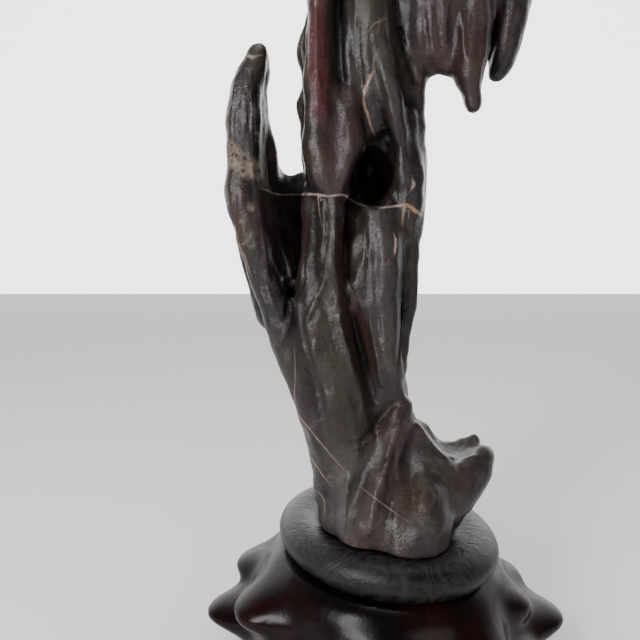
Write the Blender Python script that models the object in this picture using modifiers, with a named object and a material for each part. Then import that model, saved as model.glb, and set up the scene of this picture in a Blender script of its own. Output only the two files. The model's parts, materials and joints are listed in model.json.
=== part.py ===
"""A scholar's rock standing in a wooden ring on a carved, knobbed wooden base.

Three solids: rock, seat_ring and stand_base. Sizes are in millimetres until they reach a mesh, which is
in metres, +Z up. The origin is on the table under the centre of the ring, and it is seen from -Y.

The rock is laid out as on a sketch made from one standing point: a point is given by where it lies on the
sketch, across and up from its middle, and by how far back it sits (y). Each rib of the stone is a string of
such points with a half width. The ribs are fused into one stone, then hollowed, fluted and creased.
"""

import math

import bmesh
import bpy
import numpy as np
from mathutils import Vector, noise

MM = 0.001

# Where the sketch was made from, how far it looks down, and the sketch's distance from the eye.
EYE = np.array([-35.5, -262.0, 203.0])
LOOK_DOWN = math.radians(3.5)
SKETCH_DISTANCE = 240.5

# The stand: a base with a level top, and a ring on it that the rock's foot stands in.
BASE_HEIGHT = 62.0
BASE_TRIANGLES = 2900
BASE_VOXEL = 2.2
RING_REACH = 43.4
RING_HALF_WIDTH = 11.6
RING_HALF_HEIGHT = 9.8
RING_UNDERCUT = 7.6
RING_STRETCH = 1.13
RING_TURN = math.radians(-45)
RING_SIDES = 40
RING_SECTION_SIDES = 10
GAP = 0.3
RING_Z = BASE_HEIGHT + GAP + RING_UNDERCUT

ROCK_TRIANGLES = 6300
ROCK_VOXEL = 1.7
ROCK_CLEARANCE = 0.8
ROCK_FOOT_Z = BASE_HEIGHT + GAP

# Ribs of the rock: (across, up, y, half width) along each, from its top end to its foot.
RIBS = {
    "arm_front": [
        (-31.5, 132.5, -4, 5), (-36.5, 115, -8, 8.3), (-38, 95, -10, 9), (-37.5, 77.5, -10, 8.5),
        (-37.5, 60, -12, 9.3), (-34, 42.5, -14, 8.5), (-28, 22.5, -14, 8), (-20, 0, -14, 8.5),
        (-11.5, -22.5, -14, 9.5), (-3, -42.5, -13, 10.5), (4.5, -62.5, -12, 12), (8.5, -80, -10, 13.3),
        (11, -95, -8, 13),
    ],
    "arm_flank": [
        (-30, 130, 4, 4.6), (-31, 110, 4, 5.4), (-29.5, 88, 6, 6.8), (-27, 79, 8, 7.6), (-26.5, 65, 8, 8),
        (-24, 40, 6, 9), (-20, 15, 4, 9),
    ],
    "arm_middle": [
        (-33, 118, -2, 5.5), (-34, 95, -2, 7), (-33, 77, -1, 8), (-32, 60, -2, 9), (-28, 40, -4, 9),
        (-23, 20, -5, 9),
    ],
    "arm_fin": [(-37, 41, 6, 5), (-34.5, 28, 7, 5), (-30, 15, 6, 5.5), (-24, 2, 4, 7)],
    "arm_back": [
        (-26.5, 95, 14, 4), (-25.5, 80, 16, 5), (-26, 62.5, 18, 7), (-22, 35, 18, 9), (-14, 0, 16, 11),
    ],
    "web_top": [(-25, 74, 18, 6), (-19.5, 67, 20, 5.5), (-14, 66, 20, 5.8), (-8, 69, 18, 6)],
    "web_left": [(-26, 72, 17, 6.5), (-24, 50, 17, 8), (-21, 25, 14, 9), (-14, 0, 10, 9)],
    "web": [
        (-18, 58, 21, 9.5), (-17, 40, 19, 11), (-13.5, 15, 14, 11), (-8.5, -10, 8, 11), (-1, -32.5, 4, 12),
    ],
    "red_rib": [
        (0, 172, -16, 6), (-0.5, 145, -16, 6), (-1, 122.5, -16, 6.5), (-1, 105, -16, 7.5),
        (-0.5, 88, -15, 8.5), (2, 72, -15, 10), (5, 63, -14, 8),
    ],
    "left_edge": [
        (-2, 170, -5, 4.5), (-3, 150, -5, 4), (-6.2, 139, -5, 4), (-7.2, 132, -5, 4), (-5.5, 123, -5, 4),
        (-5.2, 115, -6, 4), (-8.3, 108, -7, 4.2), (-6, 98.5, -6, 4), (-5.2, 93, -4, 5), (-3, 79, -2, 6.2),
        (-1, 60, -2, 7),
    ],
    "left_flesh": [(3, 172, 0, 9.5), (2, 145, 0, 10), (2.5, 120, 0, 10.5), (2, 95, 0, 10.5), (4, 70, 0, 11)],
    "lobe": [(12, 108, -12, 8), (14.5, 91, -15, 8.5), (12.5, 78, -16, 8.5), (8, 66, -15, 8)],
    "lobe_middle": [(6, 112, -10, 8), (7.5, 92, -13, 8.5), (7, 76, -14, 9), (5, 62, -13, 8.5)],
    "brow": [(24, 172, -8, 13), (25, 145, -8, 13.5), (27, 128, -8, 12), (29, 112, -8, 10), (26, 100, -5, 9)],
    "brow_rib": [
        (28, 140, -13, 8), (31, 128, -14, 7.5), (34.5, 114, -14, 6.5), (38, 99, -13, 5.5),
        (41, 84, -11, 4.6), (42, 68, -9, 4.5),
    ],
    "cave_lip": [
        (43, 62, -7, 5), (41, 48, -8, 5.5), (38, 38, -10, 5.5), (37, 18, -11, 5), (37.5, -4, -11, 4.5),
    ],
    "right_skin": [(43, 102, -6, 6), (44.5, 80, -6, 6.5), (45, 62, -6, 7), (43.5, 44, -7, 6)],
    "inner_wall": [(12.5, 170, -2, 13), (12.5, 135, -2, 13), (14, 112, -2, 13), (15, 95, -2, 12)],
    "right_edge": [
        (46, 132, -1, 7), (47, 107.5, -1, 6.4), (47.5, 85, -1, 5.8), (47, 60, -1, 5.8), (46.3, 44, -2, 5.9),
        (44.5, 29, -4, 4.7), (44.3, 12.5, -4, 4.5), (41.5, -10, -4, 4.2), (38.2, -30, -4, 3.8),
        (38, -41, -4, 4),
    ],
    "right_edge_back": [(47.5, 122, 10, 6), (48.5, 85, 11, 4.5), (48.5, 57.5, 11, 4.5), (45.5, 40, 10, 5.5)],
    "right_flesh": [
        (38, 135, -1, 10), (40, 115, -1, 9), (41.5, 95, -2, 7.5), (42, 75, -2, 7.5), (40, 55, -1, 9),
        (37, 42, 0, 11),
    ],
    "cave_back": [(34, 120, 8, 10), (36, 90, 12, 9), (34, 60, 12, 10)],
    "right_body": [
        (30, 52, -5, 10), (31, 35, -8, 10.5), (31.5, 10, -11, 10.5), (32.5, -8, -12, 9),
        (34, -25, -12, 7.2), (36, -38, -11, 6),
    ],
    "rib_of_middle": [(5, 70, -13, 8.5), (5, 50, -14, 7.5), (4.5, 32, -14, 7.5), (5, 16, -14, 8)],
    "left_body": [
        (0, 64, -6, 9), (-1, 50, -7, 8.5), (-2, 30, -7, 9), (-3, 12, -9, 10), (1, -8, -11, 13),
        (6, -28, -12, 14), (11, -45, -12, 14.5), (15, -65, -12, 15.5), (19, -85, -10, 17),
        (24, -100, -6, 15),
    ],
    "slab": [(9, 14, -14, 8), (9, -8, -15, 9.5), (11, -25, -15, 9.5), (15, -42, -14, 8)],
    "knuckle": [(-13, 4, -14, 4.5), (-16, -4, -14, 6), (-18.5, -11.5, -14, 6), (-16, -20, -13, 6)],
    "foot_ridge": [
        (40, -44, -12, 6.5), (36.5, -58, -17, 8), (32.5, -74, -22, 8.5), (29, -90, -29, 9),
        (27, -104, -34, 9),
    ],
    "boulder": [(42, -76, -12, 12), (47, -91, -21, 20), (45, -105, -30, 20)],
    "boulder_left": [(25, -80, -13, 13), (24, -104, -24, 18)],
    "sole_left": [(11, -92, -15, 10), (10, -104, -18, 10)],
    "foot_right": [(45, -62, -7, 10), (52, -78, -14, 14.5), (54, -92, -18, 15.5), (50, -105, -20, 14)],
    "foot_tip": [(82.5, -66.5, -3, 6), (78, -74, -8, 9), (68, -86, -14, 11), (59, -97, -18, 12)],
    "basin_back": [(50, -54, 14, 6), (60, -63, 16, 4.5), (69, -62, 15, 4), (77, -60, 10, 5)],
    "basin_front": [(46, -55, -12, 4.5), (56, -69, -15, 5.5), (66, -79, -15, 7), (77, -76.5, -11, 6.5)],
    "basin_floor": [(54, -72, 6, 13), (62, -76, 6, 12), (71, -74, 3, 11)],
    "wing_neck": [(45, 172, 0, 13), (44, 150, 0, 12.5), (44, 130, 0, 10)],
    "wing": [(62, 182, -2, 18), (61, 162, -2, 18), (59, 148, -2, 16), (58, 138, -2, 13.5)],
    "wing_hem": [(48, 122, 2, 5), (56, 128, -2, 5.5), (64, 129, -4, 6), (70, 128, -6, 7)],
    "tooth": [
        (77, 178, -7, 12), (76.5, 155, -8, 11), (75.5, 137.5, -9, 10), (74.8, 122.5, -10, 7.3),
        (76, 112, -10, 4.8), (76.6, 107, -10, 3.8),
    ],
    "wing_lobe": [
        (96.5, 178, 2, 9.5), (95.5, 157.5, 2, 9), (93.5, 142.5, 2, 8), (90.5, 130, 2, 7),
        (88.5, 125, 2, 5.5),
    ],
    "wing_gap_wall": [(86, 175, 4, 10), (86, 155, 4, 8), (86, 142, 5, 6)],
    "foot_plug": [(31.5, -84, 0, 26), (31.5, -100, 0, 27), (31.5, -112, 0, 27)],
    "core": [
        (20, 172, 8, 17), (22, 130, 8, 17), (24, 100, 10, 14), (24, 70, 14, 12), (23, 45, 8, 15),
        (21, 20, 2, 17), (22, -20, 1, 17), (24, -60, 2, 19), (30, -85, 0, 22),
    ],
    "back_flesh": [
        (12, 196, 8, 13), (14, 174, 15, 16), (16, 140, 18, 15), (15, 100, 18, 14), (16, 60, 17, 14),
        (14, 20, 11, 14), (20, -25, 5, 15), (22, -60, 9, 16), (28, -88, 8, 18),
    ],
    "back_flesh_right": [
        (34, 192, 9, 12), (32, 174, 15, 15), (31, 140, 18, 14), (29, 100, 18, 14), (29, 60, 17, 14),
        (27, 20, 11, 14), (28, -25, 6, 14), (34, -60, 10, 15), (42, -88, 7, 17),
    ],
    "spine_left": [
        (4, 198, 8, 9), (2, 178, 15, 11), (6, 152, 20, 10), (12, 128, 25, 9), (10, 100, 25, 10),
        (4, 76, 21, 10), (7, 50, 22, 10), (14, 26, 18, 9), (15, 2, 13, 10), (11, -22, 10, 11),
        (15, -44, 13, 11), (24, -66, 18, 10), (29, -86, 18, 10),
    ],
    "spine_right": [
        (38, 196, 12, 9), (40, 180, 18, 10), (42, 156, 24, 9), (37, 132, 25, 9), (30, 112, 26, 8.5),
        (33, 92, 25, 8), (40, 70, 20, 8), (38, 46, 20, 8), (31, 26, 18, 9), (28, 6, 14, 10),
        (32, -14, 12, 9), (36, -36, 13, 9), (38, -60, 18, 10), (46, -84, 17, 12),
    ],
    "spine_fork": [(18, 86, 26, 6), (22, 66, 26, 7), (21, 48, 23, 7), (17, 34, 19, 6)],
    "spine_edge": [(44, 24, 10, 5), (42, 4, 12, 6), (38, -18, 12, 6), (40, -44, 10, 6), (50, -66, 12, 8)],
    "heel": [(20, -70, 17, 8), (22, -88, 18, 10), (30, -98, 17, 11)],
    "wing_back": [(60, 185, 14, 14), (66, 165, 18, 10), (70, 148, 14, 8), (68, 138, 8, 7)],
    "wing_back_low": [(52, 160, 18, 10), (50, 140, 16, 9), (54, 130, 8, 7)],
    "peak": [(18, 165, 0, 18), (12, 188, -1, 17), (11, 208, -1, 14), (15, 224, 1, 10.5), (20, 234, 3, 7.5)],
    "peak_back": [(30, 170, 16, 14), (27, 192, 16, 13), (24, 208, 14, 10), (26, 220, 13, 7)],
    "left_peak": [(0, 168, -8, 9), (-2, 184, -8, 9), (-5, 198, -7, 8), (-4, 208, -6, 6.5)],
    "wing_peak": [(60, 180, 3, 19), (63, 196, 3, 16), (68, 208, 4, 12), (72, 216, 5, 9)],
    "wing_tip": [(96.5, 175, 3, 10.5), (98, 187, 4, 10.5), (96, 197, 5, 8.5)],
    "saddle": [(35, 182, 4, 16), (45, 188, 5, 14), (55, 190, 4, 15)],
    "wing_top": [(74, 178, 3, 14), (86, 184, 4, 13), (94, 186, 4, 11)],
}

# Rounded hollows cut in the stone: (across, up, y), half sizes across, in depth and up, and the tilt.
HOLLOWS = {
    "cave": ((26.5, 71, -8), (11.5, 29, 15), 26),
    "basin": ((66, -55, 1), (15.5, 16, 15), 0),
    "crown_pit": ((43, 207, 2), (10, 15, 13), -15),
}

# Flutes and creases cut into the side that is seen: (across, up, half width, depth) along each.
GROOVES = {
    "beside_red_rib": [(9.5, 170, 5, 5), (9.5, 140, 5, 5), (11, 120, 5, 4), (14, 108, 3, 1)],
    "cave_side": [(24, 86, 3, 1), (19, 74, 5, 5), (17.5, 66, 4.5, 5), (16, 58, 3, 1.5)],
    "red_rib_edge": [(-7, 165, 1.6, 1.5), (-6.5, 140, 1.6, 2), (-7, 118, 1.6, 0.6)],
    "wing_crease": [(36.5, 170, 2.4, 3.5), (39.5, 146, 2.4, 4), (43.5, 132, 2.2, 4), (48, 119, 2, 2)],
    "brow_crease": [(27.5, 111, 2, 1.5), (31, 101, 2, 3), (34, 93, 2, 3), (38, 86, 2, 1)],
    "tooth_side": [(85, 168, 2.6, 3), (86.5, 150, 3, 6), (86, 138, 3, 7), (84, 128, 2, 3)],
    "s_groove": [
        (11.5, 50, 4, 3), (12, 34, 4.5, 5), (13, 16, 5.5, 7), (16, 0, 6.5, 8.5), (20.5, -15, 6.5, 8.5),
        (24, -30, 6, 7), (27, -41, 4, 3),
    ],
    "edge_groove": [
        (41.5, 40, 2, 1.5), (41.3, 22, 2.4, 3), (41, 2, 2.4, 3), (39.5, -16, 2, 2.2), (38, -28, 1.5, 1),
    ],
    "crest_valley": [(27, 44, 6, 1), (28, 26, 6, 2.5), (29, 8, 5, 2), (30, -8, 4, 1)],
    "slit": [(-16.5, 14, 1.6, 3), (-16.5, 5, 1.8, 5), (-17.5, -2, 1.6, 2)],
    "fan_a": [(37, -42, 2.5, 1.5), (28, -52, 2.5, 2.5), (20, -62, 2, 1.2)],
    "foot_hollow": [(37, -66, 3, 1), (37, -82, 4, 1.6), (34.5, -98, 3.5, 1)],
    "heel_hollow": [(22, -66, 5, 1), (20, -82, 6, 1.8), (18.5, -98, 5, 1)],
    "foot_facet": [(45, -79, 9, 2.5), (46.5, -90, 12, 4), (46, -98, 9, 2)],
    "chin": [(62, -82, 5, 1), (66, -92, 6, 1.6), (64, -101, 5, 1)],
    "crack": [(14, -92, 1.2, 0.5), (13.5, -107, 1.4, 1)],
}

# Raised edges on the side that is seen, given in the same way.
RIDGES = {
    "arm_edge": [
        (-35, 124, 2, 1), (-34, 105, 2.2, 2), (-34, 80, 2.2, 1.6), (-29, 50, 2.4, 1.8), (-26, 20, 2.4, 1.5),
    ],
    "red_crest": [(-1.5, 160, 2.2, 1.5), (-1.5, 130, 2.2, 1.8), (-1, 108, 2.4, 1.2)],
    "lobe_crest": [(14, 97, 3, 0.8), (15.5, 86, 3.6, 1.4), (12, 76, 3, 0.8)],
    "mid_crest": [(7.5, 60, 2, 0.8), (7.5, 42, 2.4, 1.4), (6.5, 24, 2, 1.2)],
    "slab_edge": [(2.5, 20, 1.6, 1), (-2, 10, 1.8, 2), (-6.5, 0, 1.6, 1.2)],
    "right_crest": [(44, 72, 2, 0.4), (42.5, 54, 2.4, 0.7), (38, 38, 2.4, 0.7), (37, 20, 2.4, 0.5)],
    "grey_edge": [(24, 8, 2, 0.8), (27, -12, 2, 1.5), (31, -33, 2, 1.2)],
    "short_ridge": [(15, -65, 1.6, 0.8), (21, -62, 2, 1.8), (27, -58.5, 1.4, 0.8)],
    "foot_crest": [
        (41, -50, 2.4, 1), (36, -62, 3.4, 1.8), (31.5, -77, 4, 2), (28, -91, 4, 1.8), (25.5, -105, 3.4, 1.2),
    ],
    "heel_crest": [(16, -76, 3, 1), (12, -91, 4, 2.6), (10.5, -107, 3.4, 2.2)],
    "slab_right": [(8.5, 12, 2.4, 1), (10.5, -4, 2.6, 1.8), (14.5, -18, 2.6, 1.8), (16.5, -28, 2, 1)],
    "cone": [(-15, 3, 3, 1), (-18, -7, 3.4, 2), (-22, -14, 3, 1)],
    "tooth_edge": [(70, 160, 2.4, 0.8), (71, 146, 2.8, 1.5), (72, 132, 2.4, 0.8)],
    "brow_crest": [(31, 128, 3, 1), (34, 114, 3, 1.6), (37.5, 100, 2.6, 1.2)],
    "rim": [(47, -47, 1.6, 1), (54, -59, 1.8, 1.4), (64, -68.5, 1.8, 1.6), (78, -68, 1.6, 1)],
}

# Flutes in the far side: (x, z, half width, depth) along each.
BACK_GROOVES = [
    [(-2, 400, 6, 2), (14, 362, 7, 5), (12, 318, 6, 5), (-2, 280, 6, 4), (4, 246, 5, 2)],
    [(28, 330, 4, 1), (22, 288, 5, 5), (14, 256, 5, 4), (16, 222, 5, 4), (8, 186, 4, 2)],
    [(-38, 300, 4, 1), (-46, 262, 5, 5), (-34, 222, 6, 5), (-18, 182, 4, 2)],
    [(64, 400, 5, 2), (54, 352, 6, 5), (66, 330, 4, 2)],
    [(-2, 150, 4, 1), (14, 126, 5, 4), (20, 96, 4, 2)],
    [(44, 128, 4, 1), (36, 110, 5, 3), (44, 96, 4, 1)],
]

# The base's knobs: bearing in degrees from +X, height, how far it stands out, and its half width in degrees
# and half height. An upper row stands beside the shoulder, and a lower row between and below it.
KNOBS = [
    (169, 43, 23, 14, 9.5), (204, 44, 22, 16, 10), (264, 40, 19, 16, 9.5), (302, 42, 19, 14, 9.5),
    (340, 43, 13.5, 12, 8), (9, 38, 17, 13, 9), (42, 42, 19, 14, 9), (77, 41, 20, 15, 9.5),
    (108, 43, 17, 12, 9), (139, 42, 18, 13, 9),
    (185, 29, 29.5, 13, 9.5), (228, 24, 24, 15, 10), (286, 24, 25, 15, 10), (322, 23, 22, 14, 9.5),
    (353, 28, 28, 14, 9.5), (26, 23, 24, 14, 9.5), (60, 25, 24, 14, 9.5), (92, 22, 22, 13, 9.5),
    (122, 26, 25, 14, 10), (155, 22, 22, 13, 9),
]
# The base's outline between its knobs, as (distance out, height).
BASE_OUTLINE = [
    (40, 65), (50, 63.8), (56.5, 61), (60.5, 56.5), (62, 50), (63, 43), (65, 36), (68, 30), (70, 24),
    (71, 18), (71, 12), (71.5, 7), (74, 2.5), (75, 0), (75, -6),
]
BASE_SIDES = 240
KNOB_ROUNDNESS = 2.5
KNOB_TAPER = 1.3


def on_sketch(across, up, y):
    """The point in space, y back from the ring's centre, that the sketch shows at (across, up)."""
    cos_look, sin_look = math.cos(LOOK_DOWN), math.sin(LOOK_DOWN)
    ray = np.array([
        across,
        SKETCH_DISTANCE * cos_look + up * sin_look,
        up * cos_look - SKETCH_DISTANCE * sin_look,
    ])
    return EYE + ray * ((y - EYE[1]) / ray[1])


def sketched(points):
    """Where each point in space lies on the sketch, as (across, up)."""
    cos_look, sin_look = math.cos(LOOK_DOWN), math.sin(LOOK_DOWN)
    away = points - EYE
    ahead = away[:, 1] * cos_look - away[:, 2] * sin_look
    above = away[:, 2] * cos_look + away[:, 1] * sin_look
    return np.stack([away[:, 0], above], axis=1) * (SKETCH_DISTANCE / ahead)[:, None]


def enlargement(y):
    """How much larger a thing is than its drawing on the sketch."""
    return (y - EYE[1]) / SKETCH_DISTANCE


def smooth_path(points, step):
    """Points about step apart on a Catmull-Rom curve through these, other values carried along."""
    knots = np.array(points, float)
    knots = np.vstack([2 * knots[0] - knots[1], knots, 2 * knots[-1] - knots[-2]])
    path = []
    for a, b, c, d in zip(knots, knots[1:], knots[2:], knots[3:]):
        count = max(2, math.ceil(np.linalg.norm((c - b)[:2]) / step))
        bend, twist = 2 * a - 5 * b + 4 * c - d, 3 * b - a - 3 * c + d
        path += [0.5 * (2 * b + (c - a) * t + bend * t**2 + twist * t**3) for t in np.arange(count) / count]
    path.append(knots[-2])
    return np.array(path)


def with_round_ends(path):
    """The path of a tube (x, y, z, radius), longer by a dome at either end."""
    turns = np.radians([80, 60, 35])
    first, last = path[0], path[-1]
    ends = []
    for end, neighbour in ((first, path[1]), (last, path[-2])):
        out = (end - neighbour)[:3]
        out /= np.linalg.norm(out)
        domes = [np.append(end[:3] + out * end[3] * math.sin(a), end[3] * math.cos(a)) for a in turns]
        ends.append(np.array(domes))
    return np.vstack([ends[0], path, ends[1][::-1]])


def new_object(name, data, collection):
    made = bpy.data.objects.new(name, data)
    collection.objects.link(made)
    return made


def tubes(name, paths, collection):
    """One curve object with a round tube of changing radius along each path of (x, y, z, radius)."""
    curve = bpy.data.curves.new(name, "CURVE")
    curve.dimensions = "3D"
    curve.bevel_depth = MM
    curve.bevel_resolution = 3
    curve.use_fill_caps = True
    for path in paths:
        spline = curve.splines.new("POLY")
        spline.points.add(len(path) - 1)
        for point, (x, y, z, radius) in zip(spline.points, path):
            point.co = (x * MM, y * MM, z * MM, 1)
            point.radius = radius
    return new_object(name, curve, collection)


def evaluated_mesh(obj):
    """A plain mesh of what obj's modifiers make of it."""
    graph = bpy.context.evaluated_depsgraph_get()
    return bpy.data.meshes.new_from_object(obj.evaluated_get(graph))


def keep_evaluated(obj):
    """Puts the mesh that obj's modifiers make in place of its own, and clears them."""
    mesh = evaluated_mesh(obj)
    obj.modifiers.clear()
    old = obj.data
    obj.data = mesh
    bpy.data.meshes.remove(old)


def mesh_from(obj):
    """A mesh object of the same name in place of a curve object."""
    mesh = evaluated_mesh(obj)
    name, collection = obj.name, obj.users_collection[0]
    bpy.data.objects.remove(obj)
    mesh.name = name
    return new_object(name, mesh, collection)


def fuse(obj, voxel, smoothing):
    """Makes everything that overlaps in obj one skin of even faces, with its creases softened."""
    remesh = obj.modifiers.new("Fuse", "REMESH")
    remesh.mode = "VOXEL"
    remesh.voxel_size = voxel * MM
    soften = obj.modifiers.new("Soften", "SMOOTH")
    soften.factor = 0.5
    soften.iterations = smoothing
    keep_evaluated(obj)


def thin_out(obj, triangles):
    """Fewer faces, kept where the form turns most."""
    faces = sum(len(polygon.vertices) - 2 for polygon in obj.data.polygons)
    decimate = obj.modifiers.new("Thin out", "DECIMATE")
    decimate.ratio = min(1.0, triangles / faces)
    decimate.use_collapse_triangulate = True
    keep_evaluated(obj)


def cut_level(obj, z, upwards):
    """Cuts obj off level at z, and keeps what is above it, or below it."""
    form = bmesh.new()
    form.from_mesh(obj.data)
    plane = {"plane_co": (0, 0, z * MM), "plane_no": (0, 0, 1)}
    geometry = form.verts[:] + form.edges[:] + form.faces[:]
    bmesh.ops.bisect_plane(form, geom=geometry, clear_inner=upwards, clear_outer=not upwards, **plane)
    bmesh.ops.holes_fill(form, edges=[edge for edge in form.edges if edge.is_boundary])
    bmesh.ops.triangulate(form, faces=[face for face in form.faces if len(face.verts) > 4])
    bmesh.ops.recalc_face_normals(form, faces=form.faces[:])
    form.to_mesh(obj.data)
    form.free()


def points_of(mesh):
    flat = np.empty(len(mesh.vertices) * 3)
    mesh.vertices.foreach_get("co", flat)
    return flat.reshape(-1, 3) / MM


def normals_of(mesh):
    flat = np.empty(len(mesh.vertices) * 3)
    mesh.vertices.foreach_get("normal", flat)
    return flat.reshape(-1, 3)


def set_points(mesh, points):
    mesh.vertices.foreach_set("co", (points * MM).ravel())
    mesh.update()


def move_to(obj, collection):
    for other in list(obj.users_collection):
        other.objects.unlink(obj)
    collection.objects.link(obj)


def as_cutter(obj):
    obj.hide_render = True
    obj.display_type = "WIRE"


def hollow_out(obj, cutters):
    """Cuts each of the hollows, an egg-shaped cutter, from obj."""
    for name, (place, half_sizes, tilt) in HOLLOWS.items():
        bpy.ops.mesh.primitive_uv_sphere_add(segments=32, ring_count=20, radius=MM)
        cutter = bpy.context.object
        cutter.name = name
        move_to(cutter, cutters)
        as_cutter(cutter)
        cutter.location = on_sketch(*place) * MM
        cutter.scale = half_sizes
        cutter.rotation_euler.x = math.radians(tilt)
        boolean = obj.modifiers.new(name, "BOOLEAN")
        boolean.operation = "DIFFERENCE"
        boolean.object = cutter
    keep_evaluated(obj)


def towards_smooth(obj, iterations, share):
    """Moves each point by this share of the way to where smoothing would take it. Below 0 it sharpens."""
    points = points_of(obj.data)
    soften = obj.modifiers.new("Soften", "SMOOTH")
    soften.factor = 0.5
    soften.iterations = iterations
    softened = evaluated_mesh(obj)
    obj.modifiers.clear()
    soft_points = points_of(softened)
    bpy.data.meshes.remove(softened)
    set_points(obj.data, points + (soft_points - points) * share)


def ease(rock):
    """Runs the ribs of the far side and of the foot together into broad swellings."""
    points = points_of(rock.data)
    far_side = np.clip((points[:, 1] - 2) / 16, 0, 1)
    foot = np.clip((145 - points[:, 2]) / 25, 0, 1)
    towards_smooth(rock, 50, np.maximum(far_side, 0.75 * foot)[:, None])


def stroke_depth(places, stroke, sharpness):
    """How deep the stroke is at each of the places, full along its path and nothing past its half width."""
    path = smooth_path(stroke, 3.0)
    depth = np.zeros(len(places))
    low = (path[:, :2] - path[:, 2:3]).min(axis=0)
    high = (path[:, :2] + path[:, 2:3]).max(axis=0)
    near = np.flatnonzero(((places > low) & (places < high)).all(axis=1))
    close = places[near]
    found = np.zeros(len(near))
    for start, end in zip(path, path[1:]):
        along = (end - start)[:2]
        share = np.clip((close - start[:2]) @ along / max(along @ along, 1e-9), 0, 1)
        here = start + share[:, None] * (end - start)
        off = np.linalg.norm(close - here[:, :2], axis=1) / np.maximum(here[:, 2], 1e-3)
        found = np.maximum(found, here[:, 3] * np.clip(1 - off, 0, 1) ** sharpness)
    depth[near] = found
    return depth


def carve(mesh, grooves, ridges, back_grooves):
    """Cuts the grooves and raises the ridges, along the line of sight, and cuts the far side's flutes."""
    points = points_of(mesh)
    normals = normals_of(mesh)
    sight = points - EYE
    sight /= np.linalg.norm(sight, axis=1)[:, None]
    facing = np.clip(-(normals * sight).sum(axis=1) * 2.5, 0, 1)
    places = sketched(points)
    push = np.zeros(len(points))
    for stroke in grooves:
        push += stroke_depth(places, stroke, 1.5)
    for stroke in ridges:
        push -= stroke_depth(places, stroke, 1.3)
    moved = points + sight * (push * facing)[:, None]
    behind = np.clip(normals[:, 1] * 2.5, 0, 1)
    for stroke in back_grooves:
        moved[:, 1] -= stroke_depth(points[:, [0, 2]], stroke, 1.5) * behind
    set_points(mesh, moved)


def weather(mesh, size, depth):
    """Uneven swellings about size across and depth high, along each point's own normal."""
    points = points_of(mesh)
    swell = np.array([noise.noise(Vector(point / size)) for point in points])
    set_points(mesh, points + normals_of(mesh) * (swell * depth)[:, None])


def oval_torus(name, collection, sides, section_sides, growth):
    """The seat ring's full oval form, thicker by growth all round."""
    bpy.ops.mesh.primitive_torus_add(
        major_segments=sides, minor_segments=section_sides,
        major_radius=RING_REACH * MM, minor_radius=(RING_HALF_WIDTH + growth) * MM,
    )
    torus = bpy.context.object
    torus.name = name
    move_to(torus, collection)
    x, y, z = points_of(torus.data).T
    x = x * RING_STRETCH
    z = z * (RING_HALF_HEIGHT + growth) / (RING_HALF_WIDTH + growth) + RING_Z
    cos_turn, sin_turn = math.cos(RING_TURN), math.sin(RING_TURN)
    set_points(torus.data, np.stack([x * cos_turn - y * sin_turn, x * sin_turn + y * cos_turn, z], axis=1))
    return torus


def seat_in_ring(rock, cutters):
    """Cuts the ring's form, with some clearance, out of the rock, whose foot swells over it at the front."""
    cutter = oval_torus("ring_cutter", cutters, 96, 32, ROCK_CLEARANCE)
    as_cutter(cutter)
    cut = rock.modifiers.new("Seat", "BOOLEAN")
    cut.operation = "DIFFERENCE"
    cut.object = cutter
    keep_evaluated(rock)


def finish(obj, name, colour, roughness):
    material = bpy.data.materials.new(name)
    material.use_nodes = True
    shader = material.node_tree.nodes["Principled BSDF"]
    shader.inputs["Base Color"].default_value = (*colour, 1)
    shader.inputs["Roughness"].default_value = roughness
    obj.data.materials.append(material)
    obj.data.shade_smooth()


def make_rock(collection, cutters, voxel=ROCK_VOXEL, triangles=ROCK_TRIANGLES):
    paths = []
    for rib in RIBS.values():
        path = smooth_path(rib, 4.0)
        placed = [np.append(on_sketch(*p[:3]), p[3] * enlargement(p[2])) for p in path]
        paths.append(with_round_ends(np.array(placed)))
    rock = mesh_from(tubes("rock", paths, collection))
    fuse(rock, voxel, 2)
    hollow_out(rock, cutters)
    fuse(rock, voxel, 2)
    ease(rock)
    weather(rock.data, 26.0, 2.0)
    weather(rock.data, 10.0, 1.0)
    towards_smooth(rock, 14, -0.8)
    carve(rock.data, GROOVES.values(), RIDGES.values(), BACK_GROOVES)
    cut_level(rock, ROCK_FOOT_Z, upwards=True)
    seat_in_ring(rock, cutters)
    if triangles:
        thin_out(rock, triangles)
    finish(rock, "dark_stone", (0.06, 0.052, 0.05), 0.4)
    return rock


def make_ring(collection):
    ring = oval_torus("seat_ring", collection, RING_SIDES, RING_SECTION_SIDES, 0)
    points = points_of(ring.data)
    points[:, 2] = np.maximum(points[:, 2], RING_Z - RING_UNDERCUT)
    set_points(ring.data, points)
    finish(ring, "charcoal_wood", (0.03, 0.029, 0.028), 0.38)
    return ring


def knobs_at(bearing, heights):
    """How far the knobs push the base's side out at this bearing, at each of the heights."""
    out = np.zeros(len(heights))
    for middle, height, reach, half_width, half_height in KNOBS:
        off = ((bearing - middle + 180) % 360 - 180) / half_width
        above = (heights - height) / half_height
        away = np.sqrt(off**2 + above**2)
        out += (reach / (1 + away**KNOB_ROUNDNESS) ** KNOB_TAPER) ** 2
    return np.sqrt(out)


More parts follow.
